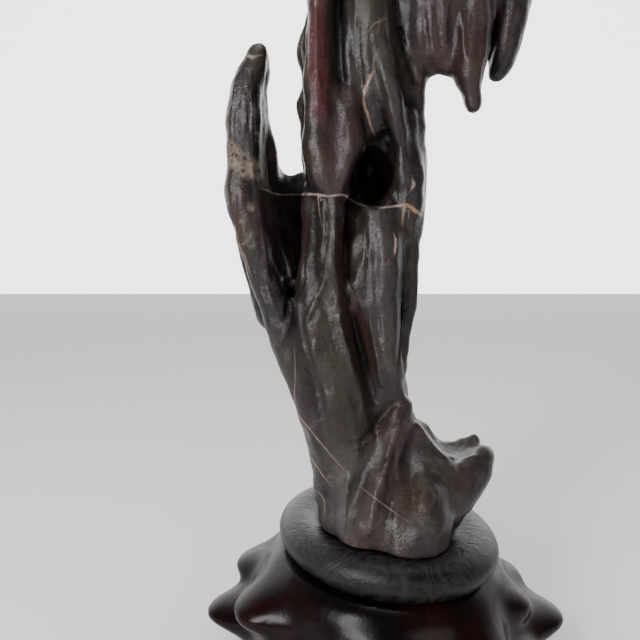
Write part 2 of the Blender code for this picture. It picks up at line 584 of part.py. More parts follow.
def make_base(collection):
    outline = smooth_path(BASE_OUTLINE, 1.6)
    standing = np.clip(outline[:, 1] / 8, 0, 1)
    rings = []
    for bearing in np.arange(BASE_SIDES) * 360 / BASE_SIDES:
        reach = outline[:, 0] + knobs_at(bearing, outline[:, 1]) * standing
        angle = math.radians(bearing)
        row = np.stack([reach * math.cos(angle), reach * math.sin(angle), outline[:, 1]], axis=1)
        rings.append(row * MM)
    rows = len(outline)
    points = [tuple(point) for ring in rings for point in ring]
    faces = [[i * rows for i in range(BASE_SIDES)][::-1], [(i + 1) * rows - 1 for i in range(BASE_SIDES)]]
    for i in range(BASE_SIDES):
        here, there = i * rows, (i + 1) % BASE_SIDES * rows
        faces += [(here + k, here + k + 1, there + k + 1, there + k) for k in range(rows - 1)]
    mesh = bpy.data.meshes.new("stand_base")
    mesh.from_pydata(points, [], faces)
    base = new_object("stand_base", mesh, collection)
    fuse(base, BASE_VOXEL, 3)
    cut_level(base, 0, upwards=True)
    cut_level(base, BASE_HEIGHT, upwards=False)
    thin_out(base, BASE_TRIANGLES)
    finish(base, "oxblood_wood", (0.03, 0.012, 0.012), 0.25)
    return base


def main():
    for obj in list(bpy.data.objects):
        bpy.data.objects.remove(obj)
    collection = bpy.data.collections.new("scholars_rock")
    cutters = bpy.data.collections.new("cutters")
    cutters.hide_render = True
    for part in (collection, cutters):
        bpy.context.scene.collection.children.link(part)
    make_rock(collection, cutters)
    make_ring(collection)
    make_base(collection)


if __name__ == "__main__":
    main()
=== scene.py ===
"""Dresses the scholar's rock: fine veined stone, a grained seat ring, a polished knobbed base and the stage.

Sizes are in millimetres until they reach a mesh, which is in metres, +Z up. The origin is on the table
under the centre of the ring. The rock, its colours and its veins are laid out as on a sketch made from one
standing point: a point is given by where it lies on the sketch, across and up from its middle, and by how
far back it sits (y).
"""

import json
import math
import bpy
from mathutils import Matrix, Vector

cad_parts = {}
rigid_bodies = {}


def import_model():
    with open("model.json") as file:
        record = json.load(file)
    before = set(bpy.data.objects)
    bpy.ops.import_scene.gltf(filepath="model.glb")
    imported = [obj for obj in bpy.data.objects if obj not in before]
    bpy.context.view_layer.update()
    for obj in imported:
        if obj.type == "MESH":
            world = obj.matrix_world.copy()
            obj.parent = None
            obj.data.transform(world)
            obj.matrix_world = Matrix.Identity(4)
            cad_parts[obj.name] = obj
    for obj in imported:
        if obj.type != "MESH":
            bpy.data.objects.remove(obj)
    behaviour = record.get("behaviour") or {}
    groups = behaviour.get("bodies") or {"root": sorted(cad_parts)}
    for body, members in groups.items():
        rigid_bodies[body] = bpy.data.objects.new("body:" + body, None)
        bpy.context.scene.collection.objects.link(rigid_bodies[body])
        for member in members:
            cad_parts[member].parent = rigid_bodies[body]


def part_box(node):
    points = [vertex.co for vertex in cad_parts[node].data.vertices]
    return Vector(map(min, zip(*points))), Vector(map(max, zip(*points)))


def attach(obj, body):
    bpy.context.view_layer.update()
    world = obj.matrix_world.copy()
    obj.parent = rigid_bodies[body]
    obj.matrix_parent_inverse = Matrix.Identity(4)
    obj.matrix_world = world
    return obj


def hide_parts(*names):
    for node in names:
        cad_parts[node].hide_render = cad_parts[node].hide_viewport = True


bl_info = {
    "name": "Scholar's Rock on a Stand",
    "version": (1, 0, 0),
    "blender": (4, 5, 0),
    "location": "3D View > Sidebar > Scholar's Rock",
    "description": "Adds a weathered display stone, its wooden seat ring and its carved base, with a stage",
    "category": "Add Mesh",
}

import bmesh
import bpy
import numpy as np
from bpy.props import BoolProperty, FloatProperty, FloatVectorProperty, IntProperty, PointerProperty
from mathutils import Vector, noise

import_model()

MM = 0.001

# Where the sketch was made from, how far it looks down, and the sketch's distance from the eye.
EYE = np.array([-35.5, -262.0, 203.0])
LOOK_DOWN = math.radians(3.5)
SKETCH_DISTANCE = 240.5

# The stand: a base with a level top, and a ring on it that the rock's foot stands in.
BASE_HEIGHT = 62.0
BASE_TRIANGLES = 2600
BASE_VOXEL = 2.6
RING_REACH = 43.4
RING_HALF_WIDTH = 11.6
RING_HALF_HEIGHT = 9.8
RING_UNDERCUT = 7.6
RING_STRETCH = 1.13
RING_TURN = math.radians(-45)
RING_SIDES = 40
RING_SECTION_SIDES = 10
GAP = 0.3
RING_Z = BASE_HEIGHT + GAP + RING_UNDERCUT

ROCK_TRIANGLES = 6600
ROCK_VOXEL = 1.7
ROCK_CLEARANCE = 0.8
ROCK_FOOT_Z = BASE_HEIGHT + GAP

# Ribs of the rock: (across, up, y, half width) along each, from its top end to its foot.
RIBS = {
    "arm_front": [
        (-31.5, 132.5, -4, 5), (-36.5, 115, -8, 8.3), (-38, 95, -10, 9), (-37.5, 77.5, -10, 8.5),
        (-37.5, 60, -12, 9.3), (-34, 42.5, -14, 8.5), (-28, 22.5, -14, 8), (-20, 0, -14, 8.5),
        (-11.5, -22.5, -14, 9.5), (-3, -42.5, -13, 10.5), (4.5, -62.5, -12, 12), (8.5, -80, -10, 13.3),
        (11, -95, -8, 13),
    ],
    "arm_flank": [
        (-30, 130, 4, 4.6), (-31, 110, 4, 5.4), (-29.5, 88, 6, 6.8), (-27, 79, 8, 7.6), (-26.5, 65, 8, 8),
        (-24, 40, 6, 9), (-20, 15, 4, 9),
    ],
    "arm_middle": [
        (-33, 118, -2, 5.5), (-34, 95, -2, 7), (-33, 77, -1, 8), (-32, 60, -2, 9), (-28, 40, -4, 9),
        (-23, 20, -5, 9),
    ],
    "arm_fin": [(-37, 41, 6, 5), (-34.5, 28, 7, 5), (-30, 15, 6, 5.5), (-24, 2, 4, 7)],
    "arm_back": [
        (-26.5, 95, 14, 4), (-25.5, 80, 16, 5), (-26, 62.5, 18, 7), (-22, 35, 18, 9), (-14, 0, 16, 11),
    ],
    "web_top": [(-25, 74, 18, 6), (-19.5, 67, 20, 5.5), (-14, 66, 20, 5.8), (-8, 69, 18, 6)],
    "web_left": [(-26, 72, 17, 6.5), (-24, 50, 17, 8), (-21, 25, 14, 9), (-14, 0, 10, 9)],
    "web": [
        (-18, 58, 21, 9.5), (-17, 40, 19, 11), (-13.5, 15, 14, 11), (-8.5, -10, 8, 11), (-1, -32.5, 4, 12),
    ],
    "red_rib": [
        (0, 172, -16, 6), (-0.5, 145, -16, 6), (-1, 122.5, -16, 6.5), (-1, 105, -16, 7.5),
        (-0.5, 88, -15, 8.5), (2, 72, -15, 10), (5, 63, -14, 8),
    ],
    "left_edge": [
        (-2, 170, -5, 4.5), (-3, 150, -5, 4), (-6.2, 139, -5, 4), (-7.2, 132, -5, 4), (-5.5, 123, -5, 4),
        (-5.2, 115, -6, 4), (-8.3, 108, -7, 4.2), (-6, 98.5, -6, 4), (-5.2, 93, -4, 5), (-3, 79, -2, 6.2),
        (-1, 60, -2, 7),
    ],
    "left_flesh": [(3, 172, 0, 9.5), (2, 145, 0, 10), (2.5, 120, 0, 10.5), (2, 95, 0, 10.5), (4, 70, 0, 11)],
    "lobe": [(12, 108, -12, 8), (14.5, 91, -15, 8.5), (12.5, 78, -16, 8.5), (8, 66, -15, 8)],
    "lobe_middle": [(6, 112, -10, 8), (7.5, 92, -13, 8.5), (7, 76, -14, 9), (5, 62, -13, 8.5)],
    "brow": [(24, 172, -8, 13), (25, 145, -8, 13.5), (27, 128, -8, 12), (29, 112, -8, 10), (26, 100, -5, 9)],
    "brow_rib": [
        (28, 140, -13, 8), (31, 128, -14, 7.5), (34.5, 114, -14, 6.5), (38, 99, -13, 5.5),
        (41, 84, -11, 4.6), (42, 68, -9, 4.5),
    ],
    "cave_lip": [
        (43, 62, -7, 5), (41, 48, -8, 5.5), (38, 38, -10, 5.5), (37, 18, -11, 5), (37.5, -4, -11, 4.5),
    ],
    "right_skin": [(43, 102, -6, 6), (44.5, 80, -6, 6.5), (45, 62, -6, 7), (43.5, 44, -7, 6)],
    "inner_wall": [(12.5, 170, -2, 13), (12.5, 135, -2, 13), (14, 112, -2, 13), (15, 95, -2, 12)],
    "right_edge": [
        (46, 132, -1, 7), (47, 107.5, -1, 6.4), (47.5, 85, -1, 5.8), (47, 60, -1, 5.8), (46.3, 44, -2, 5.9),
        (44.5, 29, -4, 4.7), (44.3, 12.5, -4, 4.5), (41.5, -10, -4, 4.2), (38.2, -30, -4, 3.8),
        (38, -41, -4, 4),
    ],
    "right_edge_back": [(47.5, 122, 10, 6), (48.5, 85, 11, 4.5), (48.5, 57.5, 11, 4.5), (45.5, 40, 10, 5.5)],
    "right_flesh": [
        (38, 135, -1, 10), (40, 115, -1, 9), (41.5, 95, -2, 7.5), (42, 75, -2, 7.5), (40, 55, -1, 9),
        (37, 42, 0, 11),
    ],
    "cave_back": [(34, 120, 8, 10), (36, 90, 12, 9), (34, 60, 12, 10)],
    "right_body": [
        (30, 52, -5, 10), (31, 35, -8, 10.5), (31.5, 10, -11, 10.5), (32.5, -8, -12, 9),
        (34, -25, -12, 7.2), (36, -38, -11, 6),
    ],
    "rib_of_middle": [(5, 70, -13, 8.5), (5, 50, -14, 7.5), (4.5, 32, -14, 7.5), (5, 16, -14, 8)],
    "left_body": [
        (0, 64, -6, 9), (-1, 50, -7, 8.5), (-2, 30, -7, 9), (-3, 12, -9, 10), (1, -8, -11, 13),
        (6, -28, -12, 14), (11, -45, -12, 14.5), (15, -65, -12, 15.5), (19, -85, -10, 17),
        (24, -100, -6, 15),
    ],
    "slab": [(9, 14, -14, 8), (9, -8, -15, 9.5), (11, -25, -15, 9.5), (15, -42, -14, 8)],
    "knuckle": [(-13, 4, -14, 4.5), (-16, -4, -14, 6), (-18.5, -11.5, -14, 6), (-16, -20, -13, 6)],
    "foot_ridge": [
        (40, -44, -12, 6.5), (36.5, -58, -17, 8), (32.5, -74, -22, 8.5), (29, -90, -29, 9),
        (27, -104, -34, 9),
    ],
    "boulder": [(42, -76, -12, 12), (47, -91, -21, 20), (45, -105, -30, 20)],
    "boulder_left": [(25, -80, -13, 13), (24, -104, -24, 18)],
    "sole_left": [(11, -92, -15, 10), (10, -104, -18, 10)],
    "foot_right": [(45, -62, -7, 10), (52, -78, -14, 14.5), (54, -92, -18, 15.5), (50, -105, -20, 14)],
    "foot_tip": [(82.5, -66.5, -3, 6), (78, -74, -8, 9), (68, -86, -14, 11), (59, -97, -18, 12)],
    "basin_back": [(50, -54, 14, 6), (60, -63, 16, 4.5), (69, -62, 15, 4), (77, -60, 10, 5)],
    "basin_front": [(46, -55, -12, 4.5), (56, -69, -15, 5.5), (66, -79, -15, 7), (77, -76.5, -11, 6.5)],
    "basin_floor": [(54, -72, 6, 13), (62, -76, 6, 12), (71, -74, 3, 11)],
    "wing_neck": [(45, 172, 0, 13), (44, 150, 0, 12.5), (44, 130, 0, 10)],
    "wing": [(62, 182, -2, 18), (61, 162, -2, 18), (59, 148, -2, 16), (58, 138, -2, 13.5)],
    "wing_hem": [(48, 122, 2, 5), (56, 128, -2, 5.5), (64, 129, -4, 6), (70, 128, -6, 7)],
    "tooth": [
        (77, 178, -7, 12), (76.5, 155, -8, 11), (75.5, 137.5, -9, 10), (74.8, 122.5, -10, 7.3),
        (76, 112, -10, 4.8), (76.6, 107, -10, 3.8),
    ],
    "wing_lobe": [
        (96.5, 178, 2, 9.5), (95.5, 157.5, 2, 9), (93.5, 142.5, 2, 8), (90.5, 130, 2, 7),
        (88.5, 125, 2, 5.5),
    ],
    "wing_gap_wall": [(86, 175, 4, 10), (86, 155, 4, 8), (86, 142, 5, 6)],
    "foot_plug": [(31.5, -84, 0, 26), (31.5, -100, 0, 27), (31.5, -112, 0, 27)],
    "core": [
        (20, 172, 8, 17), (22, 130, 8, 17), (24, 100, 10, 14), (24, 70, 14, 12), (23, 45, 8, 15),
        (21, 20, 2, 17), (22, -20, 1, 17), (24, -60, 2, 19), (30, -85, 0, 22),
    ],
    "back_flesh": [
        (12, 196, 8, 13), (14, 174, 15, 16), (16, 140, 18, 15), (15, 100, 18, 14), (16, 60, 17, 14),
        (14, 20, 11, 14), (20, -25, 5, 15), (22, -60, 9, 16), (28, -88, 8, 18),
    ],
    "back_flesh_right": [
        (34, 192, 9, 12), (32, 174, 15, 15), (31, 140, 18, 14), (29, 100, 18, 14), (29, 60, 17, 14),
        (27, 20, 11, 14), (28, -25, 6, 14), (34, -60, 10, 15), (42, -88, 7, 17),
    ],
    "spine_left": [
        (4, 198, 8, 9), (2, 178, 15, 11), (6, 152, 20, 10), (12, 128, 25, 9), (10, 100, 25, 10),
        (4, 76, 21, 10), (7, 50, 22, 10), (14, 26, 18, 9), (15, 2, 13, 10), (11, -22, 10, 11),
        (15, -44, 13, 11), (24, -66, 18, 10), (29, -86, 18, 10),
    ],
    "spine_right": [
        (38, 196, 12, 9), (40, 180, 18, 10), (42, 156, 24, 9), (37, 132, 25, 9), (30, 112, 26, 8.5),
        (33, 92, 25, 8), (40, 70, 20, 8), (38, 46, 20, 8), (31, 26, 18, 9), (28, 6, 14, 10),
        (32, -14, 12, 9), (36, -36, 13, 9), (38, -60, 18, 10), (46, -84, 17, 12),
    ],
    "spine_fork": [(18, 86, 26, 6), (22, 66, 26, 7), (21, 48, 23, 7), (17, 34, 19, 6)],
    "spine_edge": [(44, 24, 10, 5), (42, 4, 12, 6), (38, -18, 12, 6), (40, -44, 10, 6), (50, -66, 12, 8)],
    "heel": [(20, -70, 17, 8), (22, -88, 18, 10), (30, -98, 17, 11)],
    "wing_back": [(60, 185, 14, 14), (66, 165, 18, 10), (70, 148, 14, 8), (68, 138, 8, 7)],
    "wing_back_low": [(52, 160, 18, 10), (50, 140, 16, 9), (54, 130, 8, 7)],
    "peak": [(18, 165, 0, 18), (12, 188, -1, 17), (11, 208, -1, 14), (15, 224, 1, 10.5), (20, 234, 3, 7.5)],
    "peak_back": [(30, 170, 16, 14), (27, 192, 16, 13), (24, 208, 14, 10), (26, 220, 13, 7)],
    "left_peak": [(0, 168, -8, 9), (-2, 184, -8, 9), (-5, 198, -7, 8), (-4, 208, -6, 6.5)],
    "wing_peak": [(60, 180, 3, 19), (63, 196, 3, 16), (68, 208, 4, 12), (72, 216, 5, 9)],
    "wing_tip": [(96.5, 175, 3, 10.5), (98, 187, 4, 10.5), (96, 197, 5, 8.5)],
    "saddle": [(35, 182, 4, 16), (45, 188, 5, 14), (55, 190, 4, 15)],
    "wing_top": [(74, 178, 3, 14), (86, 184, 4, 13), (94, 186, 4, 11)],
}

# Rounded hollows cut in the stone: (across, up, y), half sizes across, in depth and up, and the tilt.
HOLLOWS = {
    "cave": ((26.5, 71, -8), (11.5, 29, 15), 26),
    "basin": ((66, -55, 1), (15.5, 16, 15), 0),
    "crown_pit": ((43, 207, 2), (10, 15, 13), -15),
}

# Flutes and creases cut into the side that is seen: (across, up, half width, depth) along each.
GROOVES = {
    "beside_red_rib": [(9.5, 170, 5, 5), (9.5, 140, 5, 5), (11, 120, 5, 4), (14, 108, 3, 1)],
    "cave_side": [(24, 86, 3, 1), (19, 74, 5, 5), (17.5, 66, 4.5, 5), (16, 58, 3, 1.5)],
    "red_rib_edge": [(-7, 165, 1.6, 1.5), (-6.5, 140, 1.6, 2), (-7, 118, 1.6, 0.6)],
    "wing_crease": [(36.5, 170, 2.4, 3.5), (39.5, 146, 2.4, 4), (43.5, 132, 2.2, 4), (48, 119, 2, 2)],
    "brow_crease": [(27.5, 111, 2, 1.5), (31, 101, 2, 3), (34, 93, 2, 3), (38, 86, 2, 1)],
    "tooth_side": [(85, 168, 2.6, 3), (86.5, 150, 3, 6), (86, 138, 3, 7), (84, 128, 2, 3)],
    "s_groove": [
        (11.5, 50, 4, 3), (12, 34, 4.5, 5), (13, 16, 5.5, 7), (16, 0, 6.5, 8.5), (20.5, -15, 6.5, 8.5),
        (24, -30, 6, 7), (27, -41, 4, 3),
    ],
    "edge_groove": [
        (41.5, 40, 2, 1.5), (41.3, 22, 2.4, 3), (41, 2, 2.4, 3), (39.5, -16, 2, 2.2), (38, -28, 1.5, 1),
    ],
    "crest_valley": [(27, 44, 6, 1), (28, 26, 6, 2.5), (29, 8, 5, 2), (30, -8, 4, 1)],
    "slit": [(-16.5, 14, 1.6, 3), (-16.5, 5, 1.8, 5), (-17.5, -2, 1.6, 2)],
    "fan_a": [(37, -42, 2.5, 1.5), (28, -52, 2.5, 2.5), (20, -62, 2, 1.2)],
    "foot_hollow": [(37, -66, 3, 1), (37, -82, 4, 1.6), (34.5, -98, 3.5, 1)],
    "heel_hollow": [(22, -66, 5, 1), (20, -82, 6, 1.8), (18.5, -98, 5, 1)],
    "foot_facet": [(45, -79, 9, 2.5), (46.5, -90, 12, 4), (46, -98, 9, 2)],
    "chin": [(62, -82, 5, 1), (66, -92, 6, 1.6), (64, -101, 5, 1)],
    "crack": [(14, -92, 1.2, 0.5), (13.5, -107, 1.4, 1)],
}

# Raised edges on the side that is seen, given in the same way.
RIDGES = {
    "arm_edge": [
        (-35, 124, 2, 1), (-34, 105, 2.2, 2), (-34, 80, 2.2, 1.6), (-29, 50, 2.4, 1.8), (-26, 20, 2.4, 1.5),
    ],
    "red_crest": [(-1.5, 160, 2.2, 1.5), (-1.5, 130, 2.2, 1.8), (-1, 108, 2.4, 1.2)],
    "lobe_crest": [(14, 97, 3, 0.8), (15.5, 86, 3.6, 1.4), (12, 76, 3, 0.8)],
    "mid_crest": [(7.5, 60, 2, 0.8), (7.5, 42, 2.4, 1.4), (6.5, 24, 2, 1.2)],
    "slab_edge": [(2.5, 20, 1.6, 1), (-2, 10, 1.8, 2), (-6.5, 0, 1.6, 1.2)],
    "right_crest": [(44, 72, 2, 0.4), (42.5, 54, 2.4, 0.7), (38, 38, 2.4, 0.7), (37, 20, 2.4, 0.5)],
    "grey_edge": [(24, 8, 2, 0.8), (27, -12, 2, 1.5), (31, -33, 2, 1.2)],
    "short_ridge": [(15, -65, 1.6, 0.8), (21, -62, 2, 1.8), (27, -58.5, 1.4, 0.8)],
    "foot_crest": [
        (41, -50, 2.4, 1), (36, -62, 3.4, 1.8), (31.5, -77, 4, 2), (28, -91, 4, 1.8), (25.5, -105, 3.4, 1.2),
    ],
    "heel_crest": [(16, -76, 3, 1), (12, -91, 4, 2.6), (10.5, -107, 3.4, 2.2)],
    "slab_right": [(8.5, 12, 2.4, 1), (10.5, -4, 2.6, 1.8), (14.5, -18, 2.6, 1.8), (16.5, -28, 2, 1)],
    "cone": [(-15, 3, 3, 1), (-18, -7, 3.4, 2), (-22, -14, 3, 1)],
    "tooth_edge": [(70, 160, 2.4, 0.8), (71, 146, 2.8, 1.5), (72, 132, 2.4, 0.8)],
    "brow_crest": [(31, 128, 3, 1), (34, 114, 3, 1.6), (37.5, 100, 2.6, 1.2)],
    "rim": [(47, -47, 1.6, 1), (54, -59, 1.8, 1.4), (64, -68.5, 1.8, 1.6), (78, -68, 1.6, 1)],
}

# Flutes in the far side: (x, z, half width, depth) along each.
BACK_GROOVES = [
    [(-2, 400, 6, 2), (14, 362, 7, 5), (12, 318, 6, 5), (-2, 280, 6, 4), (4, 246, 5, 2)],
    [(28, 330, 4, 1), (22, 288, 5, 5), (14, 256, 5, 4), (16, 222, 5, 4), (8, 186, 4, 2)],
    [(-38, 300, 4, 1), (-46, 262, 5, 5), (-34, 222, 6, 5), (-18, 182, 4, 2)],
    [(64, 400, 5, 2), (54, 352, 6, 5), (66, 330, 4, 2)],
    [(-2, 150, 4, 1), (14, 126, 5, 4), (20, 96, 4, 2)],
    [(44, 128, 4, 1), (36, 110, 5, 3), (44, 96, 4, 1)],
]

# The base's knobs: bearing in degrees from +X, height, how far it stands out, and its half width in degrees
# and half height. An upper row stands beside the shoulder, and a lower row between and below it.
KNOBS = [
    (169, 43, 23, 14, 9.5), (204, 44, 22, 16, 10), (264, 40, 19, 16, 9.5), (302, 42, 19, 14, 9.5),
    (340, 43, 13.5, 12, 8), (9, 38, 17, 13, 9), (42, 42, 19, 14, 9), (77, 41, 20, 15, 9.5),
    (108, 43, 17, 12, 9), (139, 42, 18, 13, 9),
    (185, 29, 29.5, 13, 9.5), (228, 24, 24, 15, 10), (286, 24, 25, 15, 10), (322, 23, 22, 14, 9.5),
    (353, 28, 28, 14, 9.5), (26, 23, 24, 14, 9.5), (60, 25, 24, 14, 9.5), (92, 22, 22, 13, 9.5),
    (122, 26, 25, 14, 10), (155, 22, 22, 13, 9),
]
# The base's outline between its knobs, as (distance out, height).
BASE_OUTLINE = [
    (40, 65), (50, 63.8), (56.5, 61), (60.5, 56.5), (62, 50), (63, 43), (65, 36), (68, 30), (70, 24),
    (71, 18), (71, 12), (71.5, 7), (74, 2.5), (75, 0), (75, -6),
]
BASE_SIDES = 240
KNOB_ROUNDNESS = 2.5
KNOB_TAPER = 1.3

# Finer flutes, wrinkles and striations: (across, up, half width, depth) along each.
FINE_GROOVES = [
    [(22, 87, 3, 2), (19, 76, 5, 7), (15.5, 67, 5.5, 8), (11, 59, 3, 2)],
    [(-41, 120, 1, 0.5), (-43, 104, 1.2, 0.9), (-43.5, 90, 1, 0.5)],
    [(-38, 124, 1, 0.5), (-39.5, 106, 1.2, 1), (-39.5, 94, 1, 0.5)],
    [(-43, 68, 1, 0.4), (-41.5, 50, 1.3, 0.9), (-37, 34, 1, 0.5)],
    [(-37, 66, 1, 0.4), (-36, 46, 1.2, 0.9), (-31, 26, 1, 0.5)],
    [(-31, 22, 1, 0.4), (-25, 4, 1.3, 0.9), (-20, -12, 1, 0.4)],
    [(4, 168, 0.9, 0.4), (3.5, 140, 1.1, 0.8), (3, 116, 0.9, 0.3)],
    [(19, 165, 1.2, 0.4), (19.5, 140, 1.6, 1), (21, 118, 1.2, 0.5)],
    [(25, 160, 1.2, 0.3), (25.5, 138, 1.5, 0.9), (27.5, 120, 1.2, 0.4)],
    [(31.5, 166, 1.2, 0.4), (32.5, 146, 1.5, 1), (36, 130, 1.2, 0.5)],
    [(3, 62, 1, 0.4), (3.4, 44, 1.3, 1.1), (1.5, 28, 1, 0.5)],
    [(9.5, 62, 1, 0.4), (9, 46, 1.2, 0.9), (8, 30, 1, 0.5)],
    [(-6, 50, 1, 0.4), (-7.5, 36, 1.3, 0.9), (-8, 18, 1, 0.4)],
    [(4, 8, 1, 0.3), (5, -6, 1.3, 0.7), (8.5, -22, 1.2, 0.5)],
    [(23, 52, 1, 0.4), (23.5, 32, 1.4, 1), (24, 14, 1, 0.4)],
    [(33, 46, 1, 0.4), (33.5, 26, 1.4, 0.9), (34, 4, 1, 0.4)],
    [(30, -12, 1, 0.4), (33, -26, 1.3, 0.9), (36, -38, 1, 0.4)],
    [(8, -30, 1, 0.4), (13, -50, 1.4, 0.8), (17, -68, 1, 0.4)],
    [(-6, -24, 1, 0.3), (-1, -44, 1.3, 0.7), (3, -66, 1, 0.3)],
    [(24, -70, 1, 0.4), (22, -86, 1.3, 0.8), (20.5, -102, 1, 0.4)],
    [(39.5, -58, 1, 0.4), (35.5, -74, 1.3, 0.8), (32, -96, 1, 0.4)],
    [(52, 160, 1.6, 0.4), (52.5, 144, 2, 1), (54, 134, 1.6, 0.4)],
    [(58, 164, 1.6, 0.4), (59, 148, 2, 1), (60, 134, 1.6, 0.4)],
    [(65, 164, 1.6, 0.4), (65.5, 148, 2, 1.1), (66, 134, 1.6, 0.4)],
    [(80, 160, 1.4, 0.4), (79.5, 140, 1.6, 0.9), (77, 120, 1.2, 0.4)],
    [(92, 164, 1.4, 0.4), (92, 146, 1.6, 0.8), (90, 132, 1.2, 0.4)],
    [(-3, -52, 1, 0.3), (2, -72, 1.2, 0.6), (5, -92, 1, 0.3)],
    [(52, -70, 1.2, 0.4), (60, -78, 1.4, 0.8), (70, -80, 1.2, 0.4)],
]
FINE_RIDGES = [
    [(12, -60, 1.2, 0.3), (18, -59, 1.4, 0.8), (25, -56, 1.2, 0.4)],
    [(28, -64, 1.4, 0.4), (34, -68, 1.6, 0.9), (31, -80, 1.4, 0.4)],
    [(54, -80, 1.8, 0.4), (58.5, -86, 2, 1.1), (57, -94, 1.6, 0.4)],
    [(38, -84, 1.8, 0.4), (36.5, -91, 2, 1), (39, -99, 1.6, 0.4)],
    [(20, -34, 1.2, 0.3), (21.5, -42, 1.4, 0.8), (20, -50, 1.2, 0.3)],
    [(-8, -14, 1.2, 0.3), (-7.5, -22, 1.4, 0.8), (-8, -32, 1.2, 0.3)],
    [(-36.5, 120, 1, 0.4), (-37, 100, 1.2, 0.9), (-36, 84, 1, 0.4)],
    [(-33, 62, 1, 0.4), (-31, 42, 1.2, 0.8), (-27, 22, 1, 0.4)],
    [(6.2, 60, 1, 0.5), (6, 44, 1.2, 1), (5, 26, 1, 0.5)],
    [(29, 30, 1.4, 0.4), (30, 8, 1.6, 0.8), (32.5, -14, 1.2, 0.4)],
    [(29.5, -66, 1.2, 0.5), (27.5, -84, 1.4, 0.9), (25, -100, 1.2, 0.4)],
    [(14.5, -78, 1.1, 0.4), (13, -90, 1.3, 0.8), (12.5, -104, 1, 0.4)],
    [(55.5, 156, 1.6, 0.4), (56, 142, 1.8, 0.8), (57, 132, 1.4, 0.4)],
    [(62, 158, 1.6, 0.4), (62.5, 144, 1.8, 0.8), (63, 134, 1.4, 0.4)],
]

# Colours of the stone, with painted shade and painted highlight among them, and where each shows: (across, up, half
# width, strength) along each stroke.
# Painted shade: a near black colour laid into the deep grooves, the cave and the recess beside the arm.
RECESS_PAINTED_SHADE = (0.0035, 0.0026, 0.0025)
STONE_DARK = (0.0068, 0.0046, 0.0047)
STONE_GREY = (0.0245, 0.019, 0.0184)
PATCHES = {
    "painted_recess_shade": (RECESS_PAINTED_SHADE, [
        [(-30.5, 124, 2.5, 0.8), (-30, 108, 3.5, 1), (-29.5, 90, 3.5, 1), (-30, 80, 2.5, 0.8)],
        [(-25, 76, 5, 1), (-22.5, 60, 6.5, 1), (-20, 30, 7, 1), (-17, 8, 6, 0.9), (-15.5, -4, 4, 0.6)],
        [(21, 84, 6, 1), (24, 72, 9, 1), (20, 60, 5, 0.8)],
        [(18, 70, 5, 0.9), (19, 62, 6, 0.9), (25, 60, 6, 0.8)],
        [(10, 168, 4, 1), (10, 142, 4, 1), (12, 118, 3.5, 0.9)],
        [(41, 40, 2.5, 0.8), (41, 10, 2.5, 0.9), (39, -20, 2, 0.7)],
        [(82, 148, 3, 0.9), (86, 140, 4, 1), (85, 128, 3, 0.8)],
    ]),
    "purple": ((0.029, 0.0135, 0.0155), [
        [(62, 172, 24, 1), (60, 150, 20, 1), (60, 132, 12, 0.8)],
        [(88, 170, 14, 0.9), (92, 140, 10, 0.8)],
        [(8, 106, 13, 1), (11, 88, 14, 1), (7, 68, 12, 0.9)],
        [(-30, 60, 9, 0.7), (-28, 30, 9, 0.6)],
        [(38, -60, 12, 0.5), (30, -84, 16, 0.8), (24, -104, 14, 0.7)],
    ]),
    "olive": ((0.0235, 0.019, 0.013), [
        [(26, 168, 13, 1), (27, 142, 13, 1), (28, 120, 10, 0.8)],
        [(-38, 136, 6, 1), (-32, 130, 6, 1), (-33, 122, 5, 0.7)],
        [(3, 16, 10, 0.9), (5, -4, 11, 1), (8, -22, 10, 0.9), (12, -40, 9, 0.6)],
        [(-9, 168, 3.5, 1), (-8.5, 140, 3.5, 1), (-8.5, 118, 3.5, 0.9), (-10, 104, 4, 0.8)],
        [(20, -50, 14, 0.7), (8, -70, 14, 0.7)],
        [(54, -56, 8, 0.8), (68, -60, 10, 0.9), (78, -62, 8, 0.8)],
    ]),
    # Grey: partly the stone's own grey, partly a painted highlight on faces turned to the light and on the foot.
    "grey": ((0.034, 0.0285, 0.028), [
        [(-41, 118, 6, 0.5), (-41, 100, 7, 0.6), (-40, 88, 6, 0.4)],
        [(29, 46, 9, 0.8), (30, 20, 9, 0.9), (32, -4, 7, 0.8), (35, -28, 6, 0.7)],
        [(30, 142, 6, 0.5), (34, 122, 6, 0.7), (38, 100, 5, 0.7)],
        [(30, -66, 6, 0.5), (28, -84, 6, 0.7), (26, -104, 6, 0.6)],
        [(16, -70, 14, 0.7), (12, -86, 14, 0.9), (10, -104, 12, 0.9)],
        [(50, -74, 14, 0.6), (46, -90, 16, 0.7), (44, -104, 14, 0.7)],
    ]),
    "red": ((0.074, 0.016, 0.0185), [
        [(-1, 172, 7, 1), (-1.5, 145, 7, 1), (-1.5, 118, 7, 0.9), (-2, 104, 7, 0.7)],
    ]),
    "brown": ((0.0295, 0.0165, 0.0115), [
        [(12, 46, 6, 1), (12.5, 16, 7, 1), (17, -4, 8, 1), (22, -24, 8, 0.9)],
        [(-42, 74, 9, 0.8), (-42, 56, 9, 0.9), (-36, 38, 8, 0.7)],
        [(46, -88, 12, 1), (47, -90, 12, 1)],
        [(76, 140, 9, 0.6), (76, 120, 7, 0.8), (76, 108, 5, 0.8)],
        [(-1, 84, 9, 0.6), (1, 72, 9, 0.6)],
    ]),
    "ochre": ((0.19, 0.146, 0.108), [
        [(-44, 87, 3.5, 0.8), (-42, 80, 6.5, 1), (-36, 76, 6.5, 1), (-31, 73, 4.5, 0.8)],
        [(-35, 57, 2.2, 0.9), (-34, 55.5, 1.8, 0.8)],
        [(-4, 88, 2, 0.9), (-4.5, 86.5, 1.6, 0.7)],
        [(-39, 50, 1.6, 0.6), (-38, 48.5, 1.4, 0.5)],
    ]),
}

